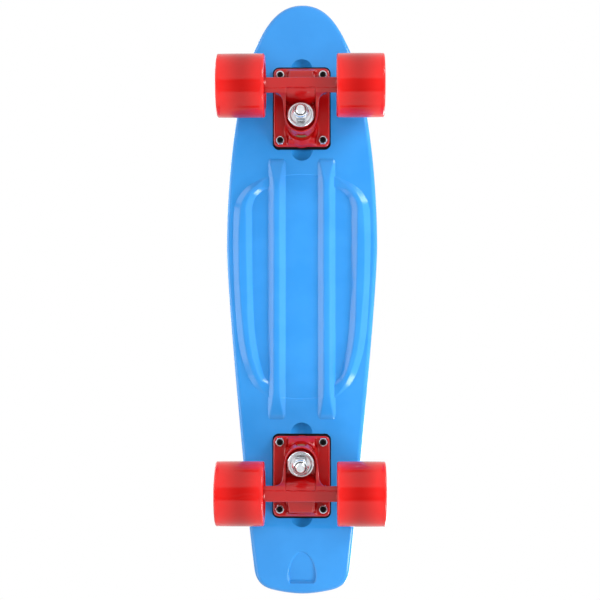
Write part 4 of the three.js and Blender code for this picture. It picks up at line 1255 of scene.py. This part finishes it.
@dataclass
class Hanger(Truck):
    """The cast hanger: axle bar, yoke with its pocket, web and pivot nose."""

    bar_profile: tuple[Triple, ...] = (
        (8.8, -39, 3), (6.3, -50.4, 0.6), (10.2, -53.8, 0.5), (20.3, -51.8, 0.6), (21, -51.0, 0.3),
        (21, -39, 3.5),
    )
    bar_width: float = 73
    end_radius: float = 7.6
    end_chamfer: float = 1.5
    end_overlap: float = 3
    end_facing: float = 0.15
    width: float = 84.5
    yoke_width: float = 34.6
    yoke_drop: float = 61
    yoke_back: float = 33.4
    yoke_front: float = 11.13
    yoke_side: tuple[Point, ...] = ((8.6, -36), (14, -46), (10.0, -53.6))
    ring_flare: tuple[Point, ...] = ((0.8, 3), (1.4, 8))
    yoke_flare: tuple[Point, ...] = ((-0.2, 14), (0, 29))
    lip_start: Point = (6.5, -50.6)
    lip_foot: float = -5.57
    lip_end: float = 38.3
    ring_width: float = 30.4
    ring_start: float = 26.4
    ring_end: float = 32.9
    ring_bore: float = 6.5
    bowl_radius: float = 13.4
    pocket_wall: float = 14.4
    pocket_width: float = 27.8
    pocket_draft: float = 0.2
    scoop_top: float = -44
    scoop_bulge: Point = (1.2, -52.2)
    scoop_edge: Point = (20.9, -57.3)
    kingpin_end: float = 57
    seat_radius: float = 12.3
    wing_size: Point = (8, 11)
    wing_face: float = 6.6
    wing_inset: float = 0.8
    wing_overlap: Point = (2, 3)
    wing_heights: Point = (-60, -40)
    web_thickness: float = 11
    web_side: tuple[Point, ...] = ((-2.3, -27), (8.2, -46), (19.4, -46), (17.9, -39))
    web_tip: Point = (28.64, 2.5)
    web_top: float = -24.4
    nose_start: float = 9.6
    nose_root: float = 13.5
    nose_tip: float = 5.0
    nose_grip: float = 7
    axle_room: float = 4.3
    facing_radius: float = 14
    overrun: float = 6
    voxel: float = 0.5

    def yoke(self) -> Piece:
        """The yoke: round about the kingpin, straight sides to the bar, a lip that falls to the ring."""
        radius = self.ring_width / 2
        half = self.yoke_width / 2
        right = [(radius + x, y) for x, y in self.ring_flare] + [(half + x, y) for x, y in self.yoke_flare]
        outline = arc((0, 0), radius, 180, 360, 32) + right + [(-x, y) for x, y in reversed(right)]
        top = self.ring_start - 2
        body = prism("yoke", outline, -self.yoke_drop, -top, self.kingpin)
        boolean(body, [self.wing(1), self.wing(-1)], Operation.JOIN)
        lip = quadratic(self.lip_start, self.on_kingpin(self.lip_end, self.yoke_front),
                        self.on_kingpin(self.lip_end, self.lip_foot))
        side = [
            self.on_kingpin(top, -self.yoke_back), self.on_kingpin(top, self.yoke_front), *self.yoke_side,
            *lip, self.on_kingpin(self.lip_end, -self.yoke_back),
        ]
        return boolean(body, [across("side", side, 80)], Operation.KEEP)

    def pocket(self) -> Piece:
        """What is cut away inside the yoke: a scoop towards the bar and a bowl about the kingpin."""
        wall = self.pocket_wall
        floor = -self.kingpin_end - 8
        bulge = (wall + self.scoop_bulge[0], self.scoop_bulge[1])
        curve = quadratic((wall, self.scoop_top), bulge, self.scoop_edge)
        scoop = [(0, -self.ring_end), (wall - self.pocket_draft, -self.ring_end), *curve,
                 (self.scoop_edge[0], floor), (0, floor)]
        channel = put(across("channel", scoop, self.pocket_width), self.kingpin)
        bowl = rod("bowl", self.bowl_radius, -self.kingpin_end - 4, -self.ring_end, self.kingpin, 64)
        return boolean(channel, [bowl], Operation.JOIN)

    def wing(self, side: int) -> Piece:
        """One gusset between the yoke and the bar."""
        half = self.yoke_width / 2 - self.wing_inset
        face = self.wing_face
        width, length = self.wing_size
        inside, above = self.wing_overlap
        curve = quadratic((half + width, face), (half, face), (half, face - length))
        corner = [(half + width, face + above), *curve, (half - inside, face - length),
                  (half - inside, face + above)]
        return prism("wing", [(side * x, y) for x, y in corner], *self.wing_heights)

    def nose(self) -> Piece:
        """The pivot nose: a tapering root, a plain shank and a round end."""
        tip, reach = self.nose_tip, self.pivot_reach
        root = self.nose_root / 2
        start, grip = self.nose_start, reach - self.nose_grip
        profile = [(0, start), (root, start), (root, reach / 2), (tip, grip)]
        profile += [*arc((0, reach), tip, 0, 90, 8)[:-1], (0, reach + tip)]
        return lathe("nose", profile, 48, self.pivot)

    def web(self) -> Piece:
        """The upright web from the bar up to the pivot nose."""
        profile = [*self.web_side, self.on_pivot(*self.web_tip), (self.web_side[0][0], self.web_top)]
        return across("web", profile, self.web_thickness)

    def casting(self) -> Piece:
        """The whole casting, mirrored from its cleaner side, its machined ends and bores cut crisp."""
        bar = across("bar", rounded(list(self.bar_profile), 4), self.bar_width)
        end = self.width / 2
        radius, start = self.end_radius, self.bar_width / 2 - self.end_overlap
        chamfer = self.end_chamfer
        added = [self.yoke(), self.nose(), self.web()]
        for side in (-1, 1):
            profile = [(0, start), (radius, start), (radius, end - chamfer), (radius - chamfer, end),
                       (0, end)]
            profile = [(r, side * z) for r, z in profile]
            added.append(lathe("end", profile[::side], 64, self.axle))
        piece = boolean(bar, added, Operation.JOIN)
        boolean(piece, [self.pocket()], Operation.CUT)
        finish_modifier(piece, "TRIANGULATE")
        finish_modifier(piece, "MIRROR", use_axis=(True, False, False), use_bisect_axis=(True, False, False),
                        use_bisect_flip_axis=(True, False, False))
        cast(piece, self.voxel, 4)
        past = self.overrun
        low, high = -self.kingpin_end - past, past - self.ring_start
        crisp = [
            rod("pin_hole", self.ring_bore, low, high, self.kingpin, 48),
            rod("seat", self.seat_radius, -self.ring_start, high, self.kingpin, 64),
            rod("axle_hole", self.axle_room, -self.width, self.width, self.axle, 32),
        ]
        for side in (-1, 1):
            low, high = sorted((side * (end - self.end_facing), side * (end + past)))
            crisp.append(rod("end_face", self.facing_radius, low, high, self.axle, 64))
        boolean(piece, crisp, Operation.CUT)
        return shade(piece, 40)

    def build(self, trucks: Sequence[TruckPlace]) -> None:
        """Models the hanger and gives every truck its own."""
        share(self.casting(), "hanger", TRUCK_PAINT, "truck_paint", trucks, Rides.SWING)


@dataclass(frozen=True)
class Thread:
    """A rolled thread: its outer radius, its depth, and where each turn falls and starts to rise."""

    radius: float
    depth: float
    fall: float
    rise: float
    pitch: float

    def turns(self, far: float, near: float) -> tuple[list[Point], float]:
        """The profile from the far end to the near one.

        Args:
            far: where the first turn is, measured from the origin.
            near: where the turns stop.

        Returns:
            (radius, distance) pairs, and the distance at which the plain shank goes on.
        """
        profile = []
        while far > near:
            profile += [(self.radius, far), (self.radius, far - self.fall)]
            profile.append((self.radius - self.depth, far - self.rise))
            far -= self.pitch
        return profile, far


@dataclass
class KingpinStack(Truck):
    """Kingpin, lock nut, cupped washers and bushings, each spun about the kingpin."""

    thread: Thread = Thread(4.75, 0.55, 0.25, 0.75, 1.3)
    pin_end: float = 58.2
    pin_tip: tuple[Point, ...] = ((0, 0), (3.7, 0), (4.15, 0.4))
    pin_head: Point = (3, 8)
    hex_flats: float = 14.3
    thread_end: Point = (0.9, 40)
    nut_flats: Point = (45.3, 52.8)
    collar: tuple[Point, ...] = ((0, 51.8), (6.85, 51.8), (6.85, 54.4), (6.6, 55.1), (6.0, 55.6), (0, 55.6))
    nut_bore: tuple[Point, ...] = ((0, 60), (5.7, 60), (5.7, 53.9), (4.9, 53.9), (4.9, 40), (0, 40))
    insert: tuple[Point, ...] = ((4.8, 54.0), (5.65, 54.0), (5.65, 55.2), (5.4, 55.45), (4.8, 55.3))
    road_washer: tuple[Point, ...] = (
        (4.9, 43.5), (10.7, 43.5), (11.3, 43.25), (12.05, 43.25), (12.4, 43.65), (12.4, 44.4), (11.95, 44.88),
        (11.2, 45), (10.5, 45), (9.8, 44.4), (9.1, 44.15), (8.5, 44.25), (8.0, 44.55), (4.9, 44.6),
    )
    board_washer: tuple[Point, ...] = (
        (4.9, 14.8), (10.65, 14.8), (10.75, 18.1), (10.95, 18.3), (11.3, 18.3), (11.5, 18.1), (11.5, 14.3),
        (10.6, 13.3), (4.9, 13.3),
    )
    board_bushing: Triple = (15.1, 26.1, 10.5)
    board_waist: float = 0.3
    road_bushing: Triple = (33.2, 43.2, 12.0)
    road_waist: float = 0.8
    bushing_bore: float = 4.95
    bushing_edge: float = 1.2

    def spun(self, name: str, profile: Sequence[Point], sides: int) -> Piece:
        """A body of revolution from (radius, distance down the kingpin) pairs, in the kingpin's own frame."""
        return lathe(name, [(radius, -along) for radius, along in profile], sides)

    def placed(self, piece: Piece, angle: float) -> Piece:
        """A piece moved from the kingpin's frame to the truck's, and shaded."""
        return shade(put(piece, self.kingpin), angle)

    def kingpin_piece(self) -> Piece:
        """The pin with its rolled thread and its hexagonal head."""
        gap, plain = self.thread_end
        turns, _ = self.thread.turns(self.pin_end - gap, plain)
        start, end = self.pin_head
        radius = self.thread.radius
        tip = [(r, self.pin_end - back) for r, back in self.pin_tip]
        pin = self.spun("pin", [*tip, *turns, (radius, plain), (radius, start + 1), (0, start + 1)], 48)
        head = hexagon("head", self.hex_flats, -end, -start, 0.8, bottom=False)
        return self.placed(boolean(pin, [head], Operation.JOIN), 30)

    def nut_piece(self) -> Piece:
        """The lock nut: a chamfered hexagon with a rolled collar."""
        start, end = self.nut_flats
        body = hexagon("nut", self.hex_flats, -end, -start, 0.9)
        collar = [(radius, -along) for radius, along in self.collar]
        return self.placed(lock_nut(body, collar, self.spun("hole", self.nut_bore, 48), 64), 30)

    def bushing(self, start: float, end: float, radius: float, waist: float) -> Piece:
        """A urethane bushing with soft edges and a slight waist."""
        edge = self.bushing_edge
        profile = [(self.bushing_bore, end)]
        profile += [(r, -z) for r, z in arc((radius - edge, edge - end), edge, -90, 0, 4)]
        span = end - start - 2 * edge
        for t in (step / 8 for step in range(1, 8)):
            profile.append((radius - waist * math.sin(math.pi * t), end - edge - span * t))
        profile += [(r, -z) for r, z in arc((radius - edge, -start - edge), edge, 0, 90, 4)]
        profile.append((self.bushing_bore, start))
        return self.placed(self.spun("bushing", profile, 72), 50)

    def bend(self, piece: Piece, truck: TruckPlace, fixed: float, moving: float) -> None:
        """Bakes a bushing's place into its mesh."""
        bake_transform(piece)

    def build(self, trucks: Sequence[TruckPlace]) -> None:
        """Models each piece once and gives every truck its own."""
        share(self.kingpin_piece(), "kingpin", ZINC, "bright_zinc", trucks)
        share(self.nut_piece(), "kingpin_nut", ZINC, "bright_zinc", trucks)
        insert = self.placed(self.spun("insert", self.insert, 48), 40)
        share(insert, "nut_insert", CUP_PLASTIC, "cup_plastic", trucks, replaces=False)
        for name, profile, finish, slot in (
            ("road_side_washer", self.road_washer, ZINC, "bright_zinc"),
            ("board_side_washer", self.board_washer, YELLOW_ZINC, "yellow_zinc"),
        ):
            share(self.placed(self.spun("washer", profile, 96), 50), name, finish, slot, trucks)
        for name, (start, end, radius), waist in (
            ("board_side_bushing", self.board_bushing, self.board_waist),
            ("road_side_bushing", self.road_bushing, self.road_waist),
        ):
            pattern = self.bushing(start, end, radius, waist)
            fixed, moving = (start, end) if name.startswith("board") else (end, start)
            for truck in trucks:
                twin = put(copied(pattern, f"{truck.node(name)}_look"), truck.place)
                twin.data.materials.append(BUSHING.material())
                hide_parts(truck.node(name))
                self.bend(twin, truck, fixed, moving)
            bpy.data.objects.remove(pattern)


@dataclass
class Rolling(Truck):
    """Axle, speed rings, lock nuts, bearings and the cast urethane wheels."""

    axle_length: float = 156.6
    axle_tip: tuple[Point, ...] = ((0, 0), (3.1, 0), (3.6, 0.4))
    axle_thread: Thread = Thread(4, 0.45, 0.25, 0.6, 1.1)
    thread_end: Point = (0.9, 12)
    bore: float = 4.3
    wheel_place: float = 56.15
    wheel_width: float = 45
    wheel_radius: float = 30
    edge_radius: float = 2.2
    crown: float = 0.12
    crown_run: float = 3
    tread_half: float = 4
    core_radius: float = 8.5
    seat_radius: float = 11.3
    seat_face: float = 12.6
    seat_edge: float = 0.4
    seat_room: float = 0.6
    hub_radius: float = 14.5
    hub_lip: Point = (0.3, 1.6)
    dish_start: Point = (15.7, 15.0)
    dish_end: Point = (21, 21.8)
    rim_step: tuple[Point, ...] = ((21.7, 22.35), (22.5, 22.5))
    bearing_places: Point = (47.35, 64.95)
    bearing_width: float = 7
    bearing_profile: tuple[Point, ...] = (
        (4.3, -3.25), (4.55, -3.5), (10.6, -3.5), (11, -3.1), (11, 3.1), (10.6, 3.5), (9.3, 3.5), (9.2, 2.9),
        (6.1, 2.9), (6.0, 3.5), (4.55, 3.5), (4.3, 3.25),
    )
    seal_profile: tuple[Point, ...] = (
        (6.15, 2.92), (9.15, 2.92), (9.15, 3.2), (8.8, 3.38), (6.6, 3.38), (6.15, 3.2),
    )
    ring_places: Point = (43.05, 69.25)
    ring_profile: tuple[Point, ...] = (
        (4.3, -0.5), (5.5, -0.5), (5.75, -0.25), (5.75, 0.25), (5.5, 0.5), (4.3, 0.5),
    )
    spacer_profile: tuple[Point, ...] = ((4.3, -5), (5.2, -5), (5.2, 5), (4.3, 5))
    nut_place: float = 73.3
    nut_flats: float = 13
    nut_faces: Point = (-3.25, 1.65)
    collar: tuple[Point, ...] = ((0, 0), (5.9, 0), (5.9, 2.45), (5.6, 3.0), (5.0, 3.25), (0, 3.25))

    def wheel(self) -> Piece:
        """A wheel with round shoulders, dished faces, a hub lip and a bearing seat each side."""
        half, radius, edge = self.wheel_width / 2, self.wheel_radius, self.edge_radius
        seat, hub, face, lip = self.seat_radius, self.hub_radius, self.seat_face, self.seat_edge
        shoulder = face - self.bearing_width - self.seat_room
        side = [(self.core_radius, shoulder), (seat, shoulder), (seat, face - lip), (seat + lip, face),
                (hub - lip, face), (hub, face + lip), (hub + self.hub_lip[0], face + self.hub_lip[1])]
        low, high = self.dish_start, self.dish_end
        for t in (step / 5 for step in range(6)):
            eased = t * t * (3 - 2 * t)
            side.append((low[0] + (high[0] - low[0]) * t, low[1] + (high[1] - low[1]) * eased))
        side += [*self.rim_step, *arc((radius - edge, half - edge), edge, 90, 0, 8)[:-1]]
        start, crown = half - edge, self.crown
        side += [(radius - 2 * crown, start), (radius - crown, start - self.crown_run)]
        side.append((radius, self.tread_half))
        profile = [(r, -z) for r, z in side] + [(r, z) for r, z in reversed(side)]
        return shade(lathe("wheel", profile, 112), 50)

    def axle_nut(self) -> Piece:
        """A lock nut, its collar outboard."""
        body = hexagon("nut", self.nut_flats, *self.nut_faces, 0.7)
        return shade(lock_nut(body, self.collar, rod("hole", self.bore, -10, 10)), 30)

    def axle_piece(self) -> Piece:
        """The plain axle with a thread at each end."""
        half = self.axle_length / 2
        gap, length = self.thread_end
        turns, plain = self.axle_thread.turns(half - gap, half - length)
        end = [(r, half - back) for r, back in self.axle_tip] + turns + [(self.axle_thread.radius, plain)]
        profile = [(r, -z) for r, z in end] + [(r, z) for r, z in reversed(end)]
        return shade(lathe("axle", profile, 40, self.axle), 30)

    def build(self, trucks: Sequence[TruckPlace]) -> None:
        """Models each piece once and places it on every axle."""
        share(self.axle_piece(), "axle", STEEL, "plain_steel", trucks, Rides.SWING)
        bearing = shade(lathe("bearing", self.bearing_profile, 64), 35)
        seal = shade(lathe("seal", self.seal_profile, 64), 35)
        spacer = shade(lathe("spacer", self.spacer_profile, 40), 35)
        ring = shade(lathe("ring", self.ring_profile, 40), 35)
        inner, outer = self.bearing_places
        near, far = self.ring_places
        for name, pattern, finish, slot, place, facing, rides in (
            ("wheel", self.wheel(), URETHANE, "wheel_urethane", self.wheel_place, 1, Rides.ROLLER),
            ("inner_bearing", bearing, STEEL, "plain_steel", inner, -1, Rides.ROLLER),
            ("outer_bearing", bearing, STEEL, "plain_steel", outer, 1, Rides.ROLLER),
            ("inner_seal", seal, BEARING_SEAL, "cup_plastic", inner, -1, Rides.ROLLER),
            ("outer_seal", seal, BEARING_SEAL, "cup_plastic", outer, 1, Rides.ROLLER),
            ("bearing_spacer", spacer, STEEL, "plain_steel", self.wheel_place, 1, Rides.SWING),
            ("inner_speed_ring", ring, ZINC, "bright_zinc", near, 1, Rides.SWING),
            ("outer_speed_ring", ring, ZINC, "bright_zinc", far, 1, Rides.SWING),
            ("axle_nut", self.axle_nut(), ZINC, "bright_zinc", self.nut_place, 1, Rides.SWING),
        ):
            for truck in trucks:
                for side in (-1, 1):
                    hand = "left" if side * truck.place[0][0] < 0 else "right"
                    node = truck.node(f"{hand}_{name}")
                    about = turn(0 if side * facing > 0 else 180, "X")
                    spot = truck.place @ self.axle @ shift(0, 0, side * place) @ about
                    nodes = [] if name.endswith("seal") else [node]
                    twin = put(copied(pattern, f"{node}_look"), spot)
                    dress(twin, finish, truck.body(rides, hand), slot, *nodes)
            if not name.startswith("inner"):
                bpy.data.objects.remove(pattern)


@dataclass
class BoltSet(Truck):
    """The eight countersunk deck bolts and their lock nuts."""

    deck_thickness: float = 10
    plate_face: float = 7.5
    head_height: float = 2.6
    head: tuple[Point, ...] = ((4.8, -0.35), (4.8, -0.08), (4.7, 0), (0, 0))
    tip: tuple[Point, ...] = ((0, 0), (1.9, 0), (2.3, 0.4))
    thread: Thread = Thread(2.5, 0.3, 0.2, 0.45, 0.8)
    thread_end: Point = (0.7, 9)
    recess: tuple[Point, ...] = ((0.45, -1.9), (2.3, 0.3), (-2.3, 0.3), (-0.45, -1.9))
    recess_width: float = 0.95
    nut_flats: float = 7.6
    nut_share: float = 0.62
    nut_gap: float = 0.25
    tail_out: float = 0.9
    least_gap: float = 0.02

    def bolt(self, length: float) -> Piece:
        """A countersunk bolt with a cross recess, its head's face at the origin."""
        gap, threaded = self.thread_end
        turns, plain = self.thread.turns(length - gap, length - threaded)
        shank = [(r, length - back) for r, back in self.tip] + turns + [
            (self.thread.radius, plain), (self.thread.radius, self.head_height)]
        piece = lathe("bolt", [(r, -z) for r, z in shank] + list(self.head), 40)
        cross = [put(across("slot", self.recess, self.recess_width), turn(angle, "Z")) for angle in (0, 90)]
        return shade(boolean(piece, cross, Operation.CUT), 30)

    def nut(self, height: float) -> Piece:
        """A lock nut with a rolled collar, seated at the origin and hanging down."""
        start = height * self.nut_share
        body = hexagon("nut", self.nut_flats, -start, 0, 0.8)
        collar = [(0, 0.4 - start), (3.95, 0.4 - start), (3.95, 0.6 - height), (3.75, 0.15 - height),
                  (3.3, -height), (0, -height)]
        hole = [(0, -20), (2.9, -20), (2.9, 0.9 - height), (2.55, 0.9 - height), (2.55, 5), (0, 5)]
        return shade(lock_nut(body, collar, lathe("hole", hole, 32)), 30)

    def insert(self, height: float) -> Piece:
        """The dark locking ring inside the nut's collar."""
        profile = [(2.45, 0.8 - height), (2.86, 0.8 - height), (2.86, 0.3 - height), (2.45, 0.3 - height)]
        return shade(lathe("insert", profile, 32), 40)

    def build(self, trucks: Sequence[TruckPlace]) -> None:
        """Places a bolt, a nut and its insert at each of the eight holes."""
        low, high = (corner.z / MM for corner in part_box("front_nose_left_bolt"))
        length = high - low
        seat = -self.deck_thickness - self.plate_face - self.nut_gap
        height = length + seat - self.tail_out
        bolt, nut, insert = self.bolt(length - self.least_gap), self.nut(height), self.insert(height)
        for truck in trucks:
            start = (truck.place @ Vector((0, 0, 0))).y
            for x, y in self.bolt_places():
                place = truck.place @ shift(x, y, self.deck_thickness)
                spot = place @ Vector((0, 0, 0))
                end = "nose" if spot.y > start else "tail"
                hand = "left" if spot.x < 0 else "right"
                name = f"{truck.end}_{end}_{hand}_bolt"
                dress(put(copied(bolt, f"{name}_look"), place), BLACK_OXIDE, "board", "bright_zinc", name)
                under = place @ shift(0, 0, seat)
                dress(put(copied(nut, f"{name}_nut"), under), ZINC, "board", "bright_zinc")
                dress(put(copied(insert, f"{name}_insert"), under), CUP_PLASTIC, "board", "cup_plastic")
        for piece in (bolt, nut, insert):
            bpy.data.objects.remove(piece)


# Studio


@dataclass
class PhotoCamera:
    """The camera of the photograph, below the board and looking up."""

    distance: float = 1300
    focal_pixels: float = 1345
    picture_pixels: float = 600
    sensor: float = 36
    clipping: Point = (0.05, 50)
    tilt: Triple = (-3.01, -1.32, 0.06)
    slide: Point = (1.7, 2.5)
    target: Triple = (0, -2, 76)

    def build(self) -> None:
        """Adds the camera and makes it the scene's."""
        bpy.ops.object.camera_add()
        camera = named("photo_camera")
        camera.data.sensor_width = self.sensor
        camera.data.lens = self.sensor * self.focal_pixels / self.picture_pixels
        camera.data.clip_start, camera.data.clip_end = self.clipping
        turned = turn(self.tilt[2], "Z") @ turn(self.tilt[1], "Y") @ turn(self.tilt[0], "X")
        stand = Matrix.Translation(Vector((-self.slide[0], -self.slide[1], self.distance)) * MM)
        flipped = Matrix.Diagonal((-1, 1, -1, 1))
        camera.matrix_world = shift(*self.target) @ flipped @ turned.inverted() @ stand
        bpy.context.scene.camera = camera


@dataclass(frozen=True)
class Lamp:
    """A square soft lamp that looks at the board."""

    name: str
    place: Triple
    size: float
    power: float
    mirrored: bool = True
    target: float = 50

    def build(self) -> None:
        """Adds the lamp, turned to the middle of the board."""
        bpy.ops.object.light_add(type="AREA")
        lamp = named(self.name)
        lamp.data.shape = "SQUARE"
        lamp.data.size = self.size * MM
        lamp.data.energy = self.power
        lamp.visible_glossy = self.mirrored
        spot = Vector(self.place) * MM
        look = Vector((0, 0, self.target * MM)) - spot
        lamp.matrix_world = Matrix.Translation(spot) @ look.to_track_quat("-Z", "Y").to_matrix().to_4x4()


@dataclass
class Studio:
    """A plain pale floor under soft lamps, with a white background."""

    floor_size: float = 8000
    floor_colour: str = "#e9eaec"
    floor_reach: Point = (350, 1500)
    floor_glow: float = 0.5
    ambient: float = 0.2
    card_place: Triple = (-28, -72, -1180)
    card_radii: Point = (510, 580)
    card_level: float = 0.04
    mirror_level: float = 0.95
    lamps: tuple[Lamp, ...] = (
        Lamp("front_fill_lamp", (-60, 20, -950), 700, 4.4, mirrored=False),
        Lamp("right_side_lamp", (-1400, 0, -350), 700, 5.0, mirrored=False),
        Lamp("right_nose_strobe", (-950, 850, -470), 560, 10.0),
        Lamp("right_tail_strobe", (-950, -850, -470), 560, 10.0),
        Lamp("left_side_lamp", (1400, 0, -120), 900, 6.0),
        Lamp("left_nose_lamp", (950, 900, -330), 800, 3.0),
        Lamp("left_tail_lamp", (950, -900, -330), 800, 3.0),
        Lamp("upper_key_lamp", (-900, -700, 1300), 900, 22.0),
        Lamp("upper_fill_lamp", (1100, 500, 1100), 1200, 12.0),
    )

    def surface(self, piece: Piece, name: str, shader: Callable[[Graph], Socket]) -> None:
        """Gives a piece of the studio a material that ends in the given shader."""
        made = bpy.data.materials.new(name)
        made.use_nodes = True
        made.node_tree.nodes.clear()
        graph = Graph(made.node_tree)
        graph.add("ShaderNodeOutputMaterial", Surface=shader(graph))
        piece.data.materials.append(made)

    def away(self, graph: Graph, centre: Triple, near: float, far: float, start: float = 0) -> Socket:
        """A share that rises with the distance from a centre."""
        place = graph.add("ShaderNodeTexCoord").outputs["Object"]
        distance = graph.row("ShaderNodeVectorMath", place, Vector(centre) * MM, operation="DISTANCE")
        return graph.ramp(distance.outputs["Value"], near * MM, far * MM, start, 1.0)

    def paper(self, graph: Graph) -> Socket:
        """The floor's shader: pale paper that fades to white, clear from below and to all but the camera."""
        diffuse = graph.add("ShaderNodeBsdfDiffuse", Color=colour(self.floor_colour)).outputs[0]
        glow = graph.add("ShaderNodeEmission", Color=colour("#ffffff")).outputs[0]
        paper = graph.shaded(self.away(graph, (0, 0, 0), *self.floor_reach, self.floor_glow), diffuse, glow)
        clear = graph.add("ShaderNodeBsdfTransparent").outputs[0]
        seen = graph.add("ShaderNodeLightPath").outputs["Is Camera Ray"]
        behind = graph.add("ShaderNodeNewGeometry").outputs["Backfacing"]
        return graph.shaded(graph.math("MULTIPLY", seen, graph.math("SUBTRACT", 1.0, behind)), clear, paper)

    def black(self, graph: Graph) -> Socket:
        """The dark card's shader, which fades out at its edge."""
        black = graph.add("ShaderNodeEmission", Strength=self.card_level).outputs[0]
        clear = graph.add("ShaderNodeBsdfTransparent").outputs[0]
        return graph.shaded(self.away(graph, self.card_place, *self.card_radii), black, clear)

    def floor(self) -> None:
        """Adds the floor, which only a camera above it sees."""
        only()
        bpy.ops.mesh.primitive_plane_add(size=self.floor_size * MM)
        self.surface(named("floor"), "floor_paper", self.paper)

    def card(self) -> None:
        """Adds the dark card round the camera, which only a gloss sees."""
        only()
        bpy.ops.mesh.primitive_circle_add(vertices=96, radius=self.card_radii[1] * MM, fill_type="NGON")
        card = put(named("dark_card"), shift(*self.card_place))
        card.visible_camera = False
        card.visible_diffuse = False
        card.visible_transmission = False
        card.visible_shadow = False
        self.surface(card, "card_black", self.black)

    def world(self) -> None:
        """White to a camera, nearly so to a gloss, plainer for the rest."""
        world = bpy.data.worlds.new("studio")
        bpy.context.scene.world = world
        world.use_nodes = True
        graph = Graph(world.node_tree)
        path = graph.add("ShaderNodeLightPath").outputs
        plain = graph.math("MAXIMUM", path["Is Camera Ray"], path["Is Transmission Ray"])
        glossy = path["Is Glossy Ray"]
        rest = graph.math("SUBTRACT", graph.math("SUBTRACT", 1.0, plain), glossy)
        level = graph.math("MULTIPLY_ADD", glossy, self.mirror_level, plain)
        level = graph.math("MULTIPLY_ADD", rest, self.ambient, level)
        background = world.node_tree.nodes["Background"]
        graph.feed(background.inputs["Color"], (1, 1, 1, 1))
        graph.feed(background.inputs["Strength"], level)

    def build(self) -> None:
        """Sets up floor, background and lamps."""
        self.floor()
        self.card()
        self.world()
        for lamp in self.lamps:
            lamp.build()
        bpy.context.scene.view_settings.view_transform = "Standard"


def main() -> None:
    """Builds the classes in order."""
    logging.basicConfig(level=logging.INFO, format="%(name)s: %(message)s")
    PhotoCamera().build()
    Studio().build()
    deck = Deck()
    deck.build()
    trucks = [
        TruckPlace("front", shift(0, deck.front_truck, deck.underside)),
        TruckPlace("rear", shift(0, deck.rear_truck, deck.underside) @ turn(180, "Z")),
    ]
    for kind in (Mounting, Hanger, KingpinStack, Rolling, BoltSet):
        kind().build(trucks)


if __name__ == "__main__":
    main()
